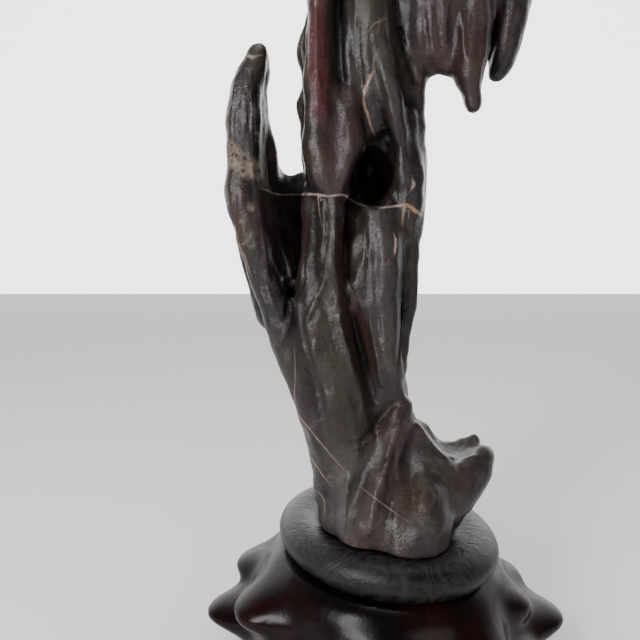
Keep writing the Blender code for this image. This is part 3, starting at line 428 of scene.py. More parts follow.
# Thin veins: (across, up, half width, strength) along each, and how far each is ochre rather than pale.
VEINS = [
    (0.25, [(-29, 66, 0.5, 0.4), (-22, 63, 0.45, 0.5), (-14, 62.6, 0.5, 0.5), (-5.5, 63, 0.6, 0.9)]),
    (0.2, [
        (-5.5, 63, 0.5, 0.8), (0, 62.4, 0.55, 0.9), (5, 61.9, 0.45, 0.7), (11.5, 62.6, 0.55, 0.9),
        (15, 60.4, 0.4, 0.7), (20.5, 57.6, 0.4, 0.6), (27, 56.4, 0.35, 0.5), (33.5, 56.4, 0.45, 0.8),
        (42, 57.6, 0.6, 1),
    ]),
    (0.9, [(40.5, 57.6, 0.7, 0.9), (44, 57.2, 0.9, 1), (47.5, 54.6, 0.9, 1), (50.5, 52.6, 0.8, 0.9)]),
    (0.3, [(-1, 62.4, 0.4, 0.7), (-0.4, 55, 0.3, 0.45), (1, 47, 0.3, 0.2)]),
    (0.6, [(42.5, 57.4, 0.7, 1), (41.6, 53, 0.5, 0.8), (41, 48, 0.4, 0.3)]),
    (0.9, [
        (26.5, 124, 0.5, 0.4), (25.2, 121.5, 0.6, 0.9), (22.4, 115, 0.6, 0.9), (22, 108, 0.6, 1),
        (24, 102, 0.6, 0.9), (25, 98, 0.5, 0.9), (27, 93, 0.5, 0.4),
    ]),
    (0.7, [(24, 144, 0.3, 0.2), (27, 148, 0.35, 0.4), (33, 151, 0.3, 0.2)]),
    (0.7, [(30, 150, 0.3, 0.35), (28.6, 143, 0.3, 0.15)]),
    (0.2, [
        (-13, -14, 0.3, 0.15), (-12.4, -24, 0.3, 0.35), (-12, -44, 0.3, 0.35), (-4, -56, 0.35, 0.5),
        (5, -67, 0.35, 0.45), (12, -75, 0.3, 0.2),
    ]),
    (0.5, [(-8.5, -62, 0.3, 0.3), (-5, -68, 0.35, 0.5), (1.6, -78, 0.35, 0.45), (6, -83, 0.3, 0.15)]),
    (0.3, [(-5, -84, 0.3, 0.3), (1.5, -88.5, 0.3, 0.4), (2.5, -99, 0.3, 0.2)]),
    (0.2, [(21, -84, 0.3, 0.2), (32, -92.5, 0.35, 0.45), (43.5, -100.5, 0.3, 0.2)]),
    (0.6, [(-45, 46, 0.3, 0.3), (-41, 38, 0.4, 0.55), (-37, 30, 0.35, 0.4), (-34, 20, 0.3, 0.2)]),
    (0.5, [(-40, 37, 0.3, 0.5), (-36, 40, 0.3, 0.2)]),
    (0.3, [(-37, 132.4, 0.6, 0.4), (-34, 131.6, 0.8, 0.9), (-31, 132, 0.6, 0.4)]),
    (0.2, [(37.6, 40.8, 0.6, 0.8), (37.8, 38.6, 0.6, 0.8), (37.6, 35, 0.6, 0.8), (37.4, 33.6, 0.5, 0.5)]),
    (0.2, [(46.5, 70, 0.5, 0.3), (46.8, 67.5, 0.8, 0.9), (45.6, 65.5, 0.5, 0.4)]),
]
VEIN_REACH = 6.0


def on_sketch(across, up, y):
    """The point in space, y back from the ring's centre, that the sketch shows at (across, up)."""
    cos_look, sin_look = math.cos(LOOK_DOWN), math.sin(LOOK_DOWN)
    ray = np.array([
        across,
        SKETCH_DISTANCE * cos_look + up * sin_look,
        up * cos_look - SKETCH_DISTANCE * sin_look,
    ])
    return EYE + ray * ((y - EYE[1]) / ray[1])


def sketched(points):
    """Where each point in space lies on the sketch, as (across, up)."""
    cos_look, sin_look = math.cos(LOOK_DOWN), math.sin(LOOK_DOWN)
    away = points - EYE
    ahead = away[:, 1] * cos_look - away[:, 2] * sin_look
    above = away[:, 2] * cos_look + away[:, 1] * sin_look
    return np.stack([away[:, 0], above], axis=1) * (SKETCH_DISTANCE / ahead)[:, None]


def enlargement(y):
    """How much larger a thing is than its drawing on the sketch."""
    return (y - EYE[1]) / SKETCH_DISTANCE


def smooth_path(points, step):
    """Points about step apart on a Catmull-Rom curve through these, other values carried along."""
    knots = np.array(points, float)
    knots = np.vstack([2 * knots[0] - knots[1], knots, 2 * knots[-1] - knots[-2]])
    path = []
    for a, b, c, d in zip(knots, knots[1:], knots[2:], knots[3:]):
        count = max(2, math.ceil(np.linalg.norm((c - b)[:2]) / step))
        bend, twist = 2 * a - 5 * b + 4 * c - d, 3 * b - a - 3 * c + d
        path += [0.5 * (2 * b + (c - a) * t + bend * t**2 + twist * t**3) for t in np.arange(count) / count]
    path.append(knots[-2])
    return np.array(path)


def with_round_ends(path):
    """The path of a tube (x, y, z, radius), longer by a dome at either end."""
    turns = np.radians([80, 60, 35])
    first, last = path[0], path[-1]
    ends = []
    for end, neighbour in ((first, path[1]), (last, path[-2])):
        out = (end - neighbour)[:3]
        out /= np.linalg.norm(out)
        domes = [np.append(end[:3] + out * end[3] * math.sin(a), end[3] * math.cos(a)) for a in turns]
        ends.append(np.array(domes))
    return np.vstack([ends[0], path, ends[1][::-1]])


def new_object(name, data, collection):
    made = bpy.data.objects.new(name, data)
    collection.objects.link(made)
    return made


def tubes(name, paths, collection):
    """One curve object with a round tube of changing radius along each path of (x, y, z, radius)."""
    curve = bpy.data.curves.new(name, "CURVE")
    curve.dimensions = "3D"
    curve.bevel_depth = MM
    curve.bevel_resolution = 3
    curve.use_fill_caps = True
    for path in paths:
        spline = curve.splines.new("POLY")
        spline.points.add(len(path) - 1)
        for point, (x, y, z, radius) in zip(spline.points, path):
            point.co = (x * MM, y * MM, z * MM, 1)
            point.radius = radius
    return new_object(name, curve, collection)


def evaluated_mesh(obj):
    """A plain mesh of what obj's modifiers make of it."""
    graph = bpy.context.evaluated_depsgraph_get()
    return bpy.data.meshes.new_from_object(obj.evaluated_get(graph))


def keep_evaluated(obj):
    """Puts the mesh that obj's modifiers make in place of its own, and clears them."""
    mesh = evaluated_mesh(obj)
    obj.modifiers.clear()
    old = obj.data
    obj.data = mesh
    bpy.data.meshes.remove(old)


def mesh_from(obj):
    """A mesh object of the same name in place of a curve object."""
    mesh = evaluated_mesh(obj)
    name, collection = obj.name, obj.users_collection[0]
    bpy.data.objects.remove(obj)
    mesh.name = name
    return new_object(name, mesh, collection)


def fuse(obj, voxel, smoothing):
    """Makes everything that overlaps in obj one skin of even faces, with its creases softened."""
    remesh = obj.modifiers.new("Fuse", "REMESH")
    remesh.mode = "VOXEL"
    remesh.voxel_size = voxel * MM
    soften = obj.modifiers.new("Soften", "SMOOTH")
    soften.factor = 0.5
    soften.iterations = smoothing
    keep_evaluated(obj)


def thin_out(obj, triangles):
    """Fewer faces, kept where the form turns most."""
    faces = sum(len(polygon.vertices) - 2 for polygon in obj.data.polygons)
    decimate = obj.modifiers.new("Thin out", "DECIMATE")
    decimate.ratio = min(1.0, triangles / faces)
    decimate.use_collapse_triangulate = True
    keep_evaluated(obj)


def cut_level(obj, z, upwards):
    """Cuts obj off level at z, and keeps what is above it, or below it."""
    form = bmesh.new()
    form.from_mesh(obj.data)
    plane = {"plane_co": (0, 0, z * MM), "plane_no": (0, 0, 1)}
    geometry = form.verts[:] + form.edges[:] + form.faces[:]
    bmesh.ops.bisect_plane(form, geom=geometry, clear_inner=upwards, clear_outer=not upwards, **plane)
    bmesh.ops.holes_fill(form, edges=[edge for edge in form.edges if edge.is_boundary])
    bmesh.ops.triangulate(form, faces=[face for face in form.faces if len(face.verts) > 4])
    bmesh.ops.recalc_face_normals(form, faces=form.faces[:])
    form.to_mesh(obj.data)
    form.free()


def points_of(mesh):
    flat = np.empty(len(mesh.vertices) * 3)
    mesh.vertices.foreach_get("co", flat)
    return flat.reshape(-1, 3) / MM


def normals_of(mesh):
    flat = np.empty(len(mesh.vertices) * 3)
    mesh.vertices.foreach_get("normal", flat)
    return flat.reshape(-1, 3)


def set_points(mesh, points):
    mesh.vertices.foreach_set("co", (points * MM).ravel())
    mesh.update()


def move_to(obj, collection):
    for other in list(obj.users_collection):
        other.objects.unlink(obj)
    collection.objects.link(obj)


def as_cutter(obj):
    obj.hide_render = True
    obj.display_type = "WIRE"


def hollow_out(obj, cutters):
    """Cuts each of the hollows, an egg-shaped cutter, from obj."""
    for name, (place, half_sizes, tilt) in HOLLOWS.items():
        bpy.ops.mesh.primitive_uv_sphere_add(segments=32, ring_count=20, radius=MM)
        cutter = bpy.context.object
        cutter.name = name
        move_to(cutter, cutters)
        as_cutter(cutter)
        cutter.location = on_sketch(*place) * MM
        cutter.scale = half_sizes
        cutter.rotation_euler.x = math.radians(tilt)
        boolean = obj.modifiers.new(name, "BOOLEAN")
        boolean.operation = "DIFFERENCE"
        boolean.object = cutter
    keep_evaluated(obj)


def towards_smooth(obj, iterations, share):
    """Moves each point by this share of the way to where smoothing would take it. Below 0 it sharpens."""
    points = points_of(obj.data)
    soften = obj.modifiers.new("Soften", "SMOOTH")
    soften.factor = 0.5
    soften.iterations = iterations
    softened = evaluated_mesh(obj)
    obj.modifiers.clear()
    soft_points = points_of(softened)
    bpy.data.meshes.remove(softened)
    set_points(obj.data, points + (soft_points - points) * share)


def ease(rock):
    """Runs the ribs of the far side and of the foot together into broad swellings."""
    points = points_of(rock.data)
    far_side = np.clip((points[:, 1] - 2) / 16, 0, 1)
    foot = np.clip((145 - points[:, 2]) / 25, 0, 1)
    towards_smooth(rock, 50, np.maximum(far_side, 0.75 * foot)[:, None])


def stroke_depth(places, stroke, sharpness):
    """How deep the stroke is at each of the places, full along its path and nothing past its half width."""
    path = smooth_path(stroke, 3.0)
    depth = np.zeros(len(places))
    low = (path[:, :2] - path[:, 2:3]).min(axis=0)
    high = (path[:, :2] + path[:, 2:3]).max(axis=0)
    near = np.flatnonzero(((places > low) & (places < high)).all(axis=1))
    close = places[near]
    found = np.zeros(len(near))
    for start, end in zip(path, path[1:]):
        along = (end - start)[:2]
        share = np.clip((close - start[:2]) @ along / max(along @ along, 1e-9), 0, 1)
        here = start + share[:, None] * (end - start)
        off = np.linalg.norm(close - here[:, :2], axis=1) / np.maximum(here[:, 2], 1e-3)
        found = np.maximum(found, here[:, 3] * np.clip(1 - off, 0, 1) ** sharpness)
    depth[near] = found
    return depth


def carve(mesh, grooves, ridges, back_grooves):
    """Cuts the grooves and raises the ridges, along the line of sight, and cuts the far side's flutes."""
    points = points_of(mesh)
    normals = normals_of(mesh)
    sight = points - EYE
    sight /= np.linalg.norm(sight, axis=1)[:, None]
    facing = np.clip(-(normals * sight).sum(axis=1) * 2.5, 0, 1)
    places = sketched(points)
    push = np.zeros(len(points))
    for stroke in grooves:
        push += stroke_depth(places, stroke, 1.5)
    for stroke in ridges:
        push -= stroke_depth(places, stroke, 1.3)
    moved = points + sight * (push * facing)[:, None]
    behind = np.clip(normals[:, 1] * 2.5, 0, 1)
    for stroke in back_grooves:
        moved[:, 1] -= stroke_depth(points[:, [0, 2]], stroke, 1.5) * behind
    set_points(mesh, moved)


def weather(mesh, size, depth):
    """Uneven swellings about size across and depth high, along each point's own normal."""
    points = points_of(mesh)
    swell = np.array([noise.noise(Vector(point / size)) for point in points])
    set_points(mesh, points + normals_of(mesh) * (swell * depth)[:, None])


def oval_torus(name, collection, sides, section_sides, growth):
    """The seat ring's full oval form, thicker by growth all round."""
    bpy.ops.mesh.primitive_torus_add(
        major_segments=sides, minor_segments=section_sides,
        major_radius=RING_REACH * MM, minor_radius=(RING_HALF_WIDTH + growth) * MM,
    )
    torus = bpy.context.object
    torus.name = name
    move_to(torus, collection)
    x, y, z = points_of(torus.data).T
    x = x * RING_STRETCH
    z = z * (RING_HALF_HEIGHT + growth) / (RING_HALF_WIDTH + growth) + RING_Z
    cos_turn, sin_turn = math.cos(RING_TURN), math.sin(RING_TURN)
    set_points(torus.data, np.stack([x * cos_turn - y * sin_turn, x * sin_turn + y * cos_turn, z], axis=1))
    return torus


def seat_in_ring(rock, cutters):
    """Cuts the ring's form, with some clearance, out of the rock, whose foot swells over it at the front."""
    cutter = oval_torus("ring_cutter", cutters, 96, 32, ROCK_CLEARANCE)
    as_cutter(cutter)
    cut = rock.modifiers.new("Seat", "BOOLEAN")
    cut.operation = "DIFFERENCE"
    cut.object = cutter
    keep_evaluated(rock)


def knobs_at(bearing, heights):
    """How far the knobs push the base's side out at this bearing, at each of the heights."""
    out = np.zeros(len(heights))
    for middle, height, reach, half_width, half_height in KNOBS:
        off = ((bearing - middle + 180) % 360 - 180) / half_width
        above = (heights - height) / half_height
        away = np.sqrt(off**2 + above**2)
        out += (reach / (1 + away**KNOB_ROUNDNESS) ** KNOB_TAPER) ** 2
    return np.sqrt(out)


def noise_at(points, size, offset=0.0):
    """Smooth noise, about -1 to 1, with features about size across. Size may differ on each axis."""
    scaled = points / np.asarray(size) + offset
    return np.array([noise.noise(Vector(place)) for place in scaled])


def flute(mesh, depth):
    """Fine uneven upright flutes all over, like those that water leaves."""
    points = points_of(mesh)
    folds = noise_at(points, (4.2, 4.2, 26.0)) + 0.5 * noise_at(points, (2.4, 2.4, 12.0), 7.3)
    set_points(mesh, points + normals_of(mesh) * (folds * depth)[:, None])


def flute_far_side(rock):
    """Eases the far side's small lumps and gives it long shallow flutes instead."""
    points = points_of(rock.data)
    far_side = np.clip((points[:, 1] - 6) / 14, 0, 1)
    towards_smooth(rock, 30, (0.8 * far_side)[:, None])
    points = points_of(rock.data)
    folds = noise_at(points, (7.5, 7.5, 38.0), 12.4) * 1.5 + noise_at(points, (3.6, 3.6, 20.0), 4.4) * 0.6
    set_points(rock.data, points + normals_of(rock.data) * (folds * far_side)[:, None])


def how_hollow(obj, iterations):
    """How far below its smoothed surface each point lies, in mm, below 0 where it stands above."""
    points, normals = points_of(obj.data), normals_of(obj.data)
    soften = obj.modifiers.new("Soften", "SMOOTH")
    soften.factor = 0.5
    soften.iterations = iterations
    softened = evaluated_mesh(obj)
    obj.modifiers.clear()
    soft_points = points_of(softened)
    bpy.data.meshes.remove(softened)
    return ((soft_points - points) * normals).sum(axis=1)


def store(mesh, name, values):
    """Keeps a number for each point, or a colour where there are three, as an attribute of the mesh."""
    if values.ndim == 1:
        attribute = mesh.attributes.new(name, "FLOAT", "POINT")
        attribute.data.foreach_set("value", values.astype(np.float32))
        return
    attribute = mesh.attributes.new(name, "FLOAT_COLOR", "POINT")
    filled = np.column_stack([values, np.ones(len(values))])
    attribute.data.foreach_set("color", filled.astype(np.float32).ravel())


def toward_eye(mesh):
    """Above 0 where a point's surface is turned to the side that is seen, and each point's place."""
    points = points_of(mesh)
    sight = points - EYE
    sight /= np.linalg.norm(sight, axis=1)[:, None]
    return -(normals_of(mesh) * sight).sum(axis=1), sketched(points)


def paint_stone(mesh):
    """Stores the stone's colour at each point, with painted shade, painted highlight and painted light among its
    patches, and how ochre it is.
    """
    points = points_of(mesh)
    facing, places = toward_eye(mesh)
    seen = np.clip(facing * 3.5, 0, 1)
    broad = noise_at(points, (24.0, 24.0, 44.0), 3.1)
    middle = noise_at(points, (7.0, 7.0, 15.0), 9.7)
    fine = noise_at(points, 2.6, 5.2)
    dark, grey = np.array(STONE_DARK), np.array(STONE_GREY)
    share = np.clip(0.5 + 0.55 * broad + 0.45 * middle, 0, 1)
    colour = dark + (grey - dark) * share[:, None]
    for name, offset in (("purple", 21.0), ("olive", 43.0), ("brown", 67.0)):
        cover = np.clip(noise_at(points, (17.0, 17.0, 30.0), offset) * 1.6 - 0.25 + 0.5 * fine, 0, 0.7)
        colour += (np.array(PATCHES[name][0]) - colour) * cover[:, None]
    ochre = np.zeros(len(points))
    for name, (tint, strokes) in PATCHES.items():
        cover = np.zeros(len(points))
        for stroke in strokes:
            cover = np.maximum(cover, stroke_depth(places, stroke, 0.7))
        cover = np.clip(cover * 1.7 + (0.45 * middle + 0.55 * fine) * (cover > 0) - 0.3, 0, 1) * seen
        if name == "ochre":
            ochre = cover
        colour += (np.array(tint) - colour) * (cover * 0.85)[:, None]
    # Painted light: the colour is made lighter towards the foot, as where more light falls on it.
    foot_painted_lighter = np.clip((175 - points[:, 2]) / 60, 0, 1)
    colour *= 1 + 0.25 * foot_painted_lighter[:, None]
    store(mesh, "tint", colour)
    store(mesh, "ochre", ochre)


def paint_veins(mesh):
    """Stores which side of its nearest vein each point is on, in half widths, how strong and how ochre."""
    facing, places = toward_eye(mesh)
    side = np.full(len(places), np.inf)
    strength = np.zeros(len(places))
    warmth = np.zeros(len(places))
    for ochre, stroke in VEINS:
        path = smooth_path(stroke, 1.5)
        for start, end in zip(path, path[1:]):
            along = (end - start)[:2]
            off = places - start[:2]
            share = np.clip(off @ along / max(along @ along, 1e-9), 0, 1)
            here = start + share[:, None] * (end - start)
            gap = np.linalg.norm(places - here[:, :2], axis=1) / here[:, 2]
            nearer = gap < np.abs(side)
            turn = np.sign(along[0] * off[:, 1] - along[1] * off[:, 0])
            side[nearer] = (gap * np.where(turn == 0, 1, turn))[nearer]
            strength[nearer] = here[nearer, 3]
            warmth[nearer] = ochre
    side = np.clip(side, -VEIN_REACH, VEIN_REACH)
    shown = np.clip((VEIN_REACH - np.abs(side)) / 2, 0, 1) * np.clip(facing * 4, 0, 1)
    store(mesh, "vein_side", side)
    store(mesh, "vein_strength", strength * shown)
    store(mesh, "vein_warmth", warmth)


class Shader:
    """A material being built from nodes, with one short call for each node."""

    def __init__(self, name):
        self.material = bpy.data.materials.new(name)
        self.material.use_nodes = True
        self.tree = self.material.node_tree
        self.surface = self.tree.nodes["Principled BSDF"]
        self.place = self.tree.nodes.new("ShaderNodeTexCoord").outputs["Object"]

    def put(self, socket, value):
        """Links value to the socket where it is another node's output, and sets it where it is plain."""
        if isinstance(value, bpy.types.NodeSocket):
            self.tree.links.new(value, socket)
        else:
            socket.default_value = value

    def node(self, kind, output, inputs, **settings):
        made = self.tree.nodes.new(kind)
        for key, value in settings.items():
            setattr(made, key, value)
        for key, value in inputs.items():
            self.put(made.inputs[key], value)
        return made.outputs[output]

    def attribute(self, name, output="Fac"):
        return self.node("ShaderNodeAttribute", output, {}, attribute_name=name)

    def scaled(self, scale, turn=(0, 0, 0)):
        return self.node("ShaderNodeMapping", "Vector", {"Vector": self.place, "Scale": scale, "Rotation": turn})

    def noise(self, scale, detail=4.0, roughness=0.55, stretch=(1, 1, 1), distortion=0.0):
        inputs = {
            "Vector": self.scaled(stretch), "Scale": scale, "Detail": detail,
            "Roughness": roughness, "Distortion": distortion,
        }
        return self.node("ShaderNodeTexNoise", "Fac", inputs)

    def math(self, operation, a, b=0.5, c=0.5):
        made = self.tree.nodes.new("ShaderNodeMath")
        made.operation = operation
        for socket, value in zip(made.inputs, (a, b, c)):
            self.put(socket, value)
        return made.outputs[0]

    def spread(self, value, from_low, from_high, low=0.0, high=1.0):
        """Value from one range to another, held at its ends."""
        inputs = {"Value": value, "From Min": from_low, "From Max": from_high, "To Min": low, "To Max": high}
        return self.node("ShaderNodeMapRange", "Result", inputs)

    def mix(self, share, a, b, blend="MIX"):
        made = self.tree.nodes.new("ShaderNodeMix")
        made.data_type = "RGBA"
        made.blend_type = blend
        self.put(made.inputs["Factor"], share)
        for socket, value in zip([s for s in made.inputs if s.type == "RGBA"], (a, b)):
            self.put(socket, (*value, 1) if isinstance(value, tuple) else value)
        return next(s for s in made.outputs if s.type == "RGBA")

    def bump(self, height, distance, strength=1.0, normal=None):
        inputs = {"Height": height, "Distance": distance, "Strength": strength}
        if normal:
            inputs["Normal"] = normal
        return self.node("ShaderNodeBump", "Normal", inputs)

    def finish(self, **inputs):
        for key, value in inputs.items():
            self.put(self.surface.inputs[key.replace("_", " ")], value)
        return self.material


def stone_material(settings):
    """Dark waxed stone: mottled, with painted shade making its hollows near black, and worn lighter and shinier on its
    crests, the lighter colour partly a painted highlight.
    """
    made = Shader("dark_waxed_stone")
    hollow = made.attribute("hollow")
    ochre = made.attribute("ochre")
    clouds = made.noise(70.0, 6.0, 0.62, (1, 1, 0.45), 0.6)
    grains = made.noise(900.0, 5.0, 0.7)
    streaks = made.noise(240.0, 5.0, 0.6, (1, 1, 0.14), 0.8)
    colour = made.attribute("tint", "Color")
    colour = made.mix(1.0, colour, made.mix(clouds, (0.35, 0.34, 0.34), (1.75, 1.7, 1.65)), "MULTIPLY")
    colour = made.mix(0.35, colour, made.mix(streaks, (0.5, 0.48, 0.47), (1.5, 1.5, 1.5)), "MULTIPLY")
    colour = made.mix(0.5, colour, made.mix(grains, (0.45, 0.45, 0.45), (1.55, 1.5, 1.45)), "MULTIPLY")
    # Painted shade: broad cavities, then the narrow hollows, darkened towards near black.
    colour = made.mix(made.spread(made.attribute("deep"), 0.3, 4.0, 0.0, 0.8), colour, (0.003, 0.0022, 0.002))
    colour = made.mix(made.spread(hollow, 0.08, 0.9, 0.0, 0.92), colour, (0.0025, 0.0018, 0.0018))
    # Crests lighter: partly wear, partly a painted highlight.
    colour = made.mix(made.spread(hollow, -0.25, -1.3, 0.0, 0.45), colour, (0.078, 0.07, 0.069))
    pits = made.node("ShaderNodeTexVoronoi", "Distance", {"Vector": made.scaled((1, 1, 1)), "Scale": 330.0})
    pitted = made.math("MULTIPLY", made.spread(pits, 0.34, 0.2), made.spread(ochre, 0.3, 0.8))
    colour = made.mix(made.math("MULTIPLY", pitted, 0.85), colour, (0.006, 0.004, 0.003))
    stained = made.math("MULTIPLY", made.spread(made.noise(210.0, 5.0, 0.7), 0.42, 0.6, 0.0, 0.75), ochre)
    colour = made.mix(stained, colour, (0.022, 0.015, 0.012))
    wander = made.math("MULTIPLY_ADD", made.noise(520.0, 3.0), 2.2, -1.1)
    across = made.math("ABSOLUTE", made.math("ADD", made.attribute("vein_side"), wander))
    shown = made.math("MULTIPLY", made.spread(across, 1.5, 0.5), made.attribute("vein_strength"))
    broken = made.spread(made.noise(160.0, 3.0), 0.3, 0.5, 0.35, settings.vein_strength)
    shown = made.math("MULTIPLY", shown, broken)
    vein = made.mix(made.attribute("vein_warmth"), (0.3, 0.235, 0.21), (0.26, 0.15, 0.075))
    colour = made.mix(shown, colour, vein)
    rough = made.spread(made.noise(55.0, 5.0, 0.6, (1, 1, 0.5)), 0.3, 0.7, settings.gloss - 0.13, settings.gloss + 0.13)
    rough = made.math("ADD", rough, made.spread(hollow, 0.0, 1.5, 0.0, 0.28))
    rough = made.math("ADD", rough, made.math("MULTIPLY", ochre, 0.3))
    low = made.bump(streaks, 0.0004, 0.3)
    low = made.bump(made.noise(120.0, 4.0, 0.55, (1, 1, 0.6), 0.8), 0.001, 0.4, low)
    low = made.bump(made.noise(380.0, 4.0, 0.65, (1, 1, 1.7), 0.4), 0.0007, 0.5, low)
    low = made.bump(pitted, -0.0009, 0.9, low)
    low = made.bump(grains, 0.00018, 0.5, low)
    return made.finish(Base_Color=colour, Roughness=rough, Normal=low, Specular_IOR_Level=0.3)


def charcoal_material(settings):
    """Satin charcoal wood: fine grain that swirls where the ring turns through it."""
    made = Shader("charcoal_grained_wood")
    turned = made.scaled((1, 1, 1), (0.15, 0.1, math.radians(24)))
    bent = made.node("ShaderNodeTexNoise", "Color", {"Vector": turned, "Scale": 26.0, "Detail": 3.0})
    moved = made.node(
        "ShaderNodeVectorMath", "Vector", {0: turned, 1: bent, 2: (0.022, 0.022, 0.022)}, operation="MULTIPLY_ADD",
    )
    stretched = made.node("ShaderNodeMapping", "Vector", {"Vector": moved, "Scale": (0.12, 1.0, 1.0)})
    grain = made.node(
        "ShaderNodeTexNoise", "Fac",
        {"Vector": stretched, "Scale": settings.grain_count, "Detail": 6.0, "Roughness": 0.65},
    )
    pores = made.node(
        "ShaderNodeTexNoise", "Fac",
        {"Vector": stretched, "Scale": settings.grain_count * 4, "Detail": 3.0, "Roughness": 0.7},
    )
    worn = made.noise(38.0, 4.0, 0.6)
    colour = made.mix(made.spread(grain, 0.38, 0.62), (0.002, 0.0017, 0.0017), (0.018, 0.0155, 0.0152))
    colour = made.mix(made.spread(worn, 0.45, 0.75, 0.0, 0.5), colour, (0.022, 0.0185, 0.0175))
    colour = made.mix(made.spread(pores, 0.52, 0.66, 0.0, 0.7), colour, (0.003, 0.003, 0.003))
    rough = made.spread(grain, 0.3, 0.7, 0.3, 0.46)
    normal = made.bump(grain, 0.0009, 0.7)
    normal = made.bump(pores, -0.0004, 0.7, normal)
    return made.finish(Base_Color=colour, Roughness=rough, Normal=normal, Specular_IOR_Level=0.22)


def oxblood_material(settings):
    """Polished, nearly black wood with oxblood red where the lacquer has worn, and painted shade in its hollows."""
    made = Shader("polished_oxblood_wood")
    clouds = made.noise(24.0, 5.0, 0.6, (1, 1, 0.7), 0.6)
    stretched = made.scaled((1.0, 0.1, 1.0), (0, 0, math.radians(-30)))
    grain = made.node(
        "ShaderNodeTexNoise", "Fac",
        {"Vector": stretched, "Scale": settings.grain_count, "Detail": 6.0, "Roughness": 0.65, "Distortion": 0.4},
    )
    hollow = made.attribute("hollow")
    colour = made.mix(made.spread(clouds, 0.45, 0.72), (0.002, 0.0011, 0.0013), (0.017, 0.0026, 0.003))
    colour = made.mix(made.spread(hollow, -0.8, -2.6, 0.0, 0.75), colour, (0.042, 0.0055, 0.0055))
    # Painted shade: the base's hollows darkened.
    colour = made.mix(made.spread(hollow, 0.1, 1.2, 0.0, 0.7), colour, (0.003, 0.002, 0.002))
    colour = made.mix(made.spread(grain, 0.45, 0.62, 0.0, 0.6), colour, (0.0035, 0.002, 0.002))
    rough = made.spread(made.noise(60.0, 4.0), 0.3, 0.7, 0.16, 0.28)
    normal = made.bump(grain, 0.0003, 0.35)
    normal = made.bump(made.noise(90.0, 4.0), 0.0006, 0.3, normal)
    return made.finish(
        Base_Color=colour, Roughness=rough, Normal=normal, Specular_IOR_Level=0.1, Coat_Weight=0.05,
        Coat_Roughness=0.12,
    )


def plain_material(name, colour, roughness):
    made = Shader(name)
    return made.finish(Base_Color=(*colour, 1), Roughness=roughness)


def dress(piece, node, material):
    """Gives the piece its material, keeps it inside its node's box and lets it stand for the node."""
    piece.data.materials.clear()
    piece.data.materials.append(material)
    piece.data.polygons.foreach_set("material_index", np.zeros(len(piece.data.polygons), np.int32))
    piece.data.shade_smooth()
    low, high = (np.array(corner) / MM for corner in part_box(node))
    points = points_of(piece.data)
    lowest, highest = points.min(axis=0), points.max(axis=0)
    share = np.minimum(1, (high - low) / (highest - lowest))
    middle = (low + high) / 2
    own_middle = np.where(share < 1, (lowest + highest) / 2, points.mean(axis=0) * 0)
    moved = np.where(share < 1, middle + (points - own_middle) * share, points)
    set_points(piece.data, np.clip(moved, low, high))
    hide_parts(node)
    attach(piece, "root")


def piece_collection(name):
    found = bpy.data.collections.get(name)
    if found is None:
        found = bpy.data.collections.new(name)
        bpy.context.scene.collection.children.link(found)
    return found


def make_rock(settings):
    """The stone: its ribs fused, hollowed, eased behind, fluted, creased and seated in the ring."""
    collection = piece_collection("stone")
    cutters = piece_collection("stone_cutters")
    paths = []
    for rib in RIBS.values():
        path = smooth_path(rib, 4.0)
        placed = [np.append(on_sketch(*p[:3]), p[3] * enlargement(p[2])) for p in path]
        paths.append(with_round_ends(np.array(placed)))
    rock = mesh_from(tubes("weathered_stone", paths, collection))
    fuse(rock, ROCK_VOXEL, 2)
    hollow_out(rock, cutters)
    fuse(rock, settings.face_size / MM, 2)
    ease(rock)
    weather(rock.data, 26.0, 2.0)
    weather(rock.data, 10.0, 1.0)
    towards_smooth(rock, 14, -0.8)
    flute_far_side(rock)
    carve(rock.data, GROOVES.values(), RIDGES.values(), BACK_GROOVES)
    towards_smooth(rock, 8, np.clip(how_hollow(rock, 12), 0, 1)[:, None])
    carve(rock.data, FINE_GROOVES, FINE_RIDGES, [])
    towards_smooth(rock, 2, 0.6)
    flute(rock.data, settings.flute_depth / MM)
    weather(rock.data, 4.0, 0.12)
    towards_smooth(rock, 4, -0.5)
    store(rock.data, "hollow", how_hollow(rock, 12))
    store(rock.data, "deep", how_hollow(rock, 90))
    cut_level(rock, ROCK_FOOT_Z, upwards=True)
    seat_in_ring(rock, cutters)
    paint_stone(rock.data)
    paint_veins(rock.data)
    rock.data.set_sharp_from_angle(angle=math.radians(65))
    for cutter in list(cutters.objects):
        bpy.data.objects.remove(cutter)
    bpy.data.collections.remove(cutters)
    return rock


def make_ring(settings):
    """The turned ring: an oval of soft round section, flat underneath."""
    ring = oval_torus("turned_seat_ring", piece_collection("stand"), 192, 48, 0)
    points = points_of(ring.data)
    points[:, 2] = np.maximum(points[:, 2], RING_Z - RING_UNDERCUT)
    set_points(ring.data, points)
    return ring


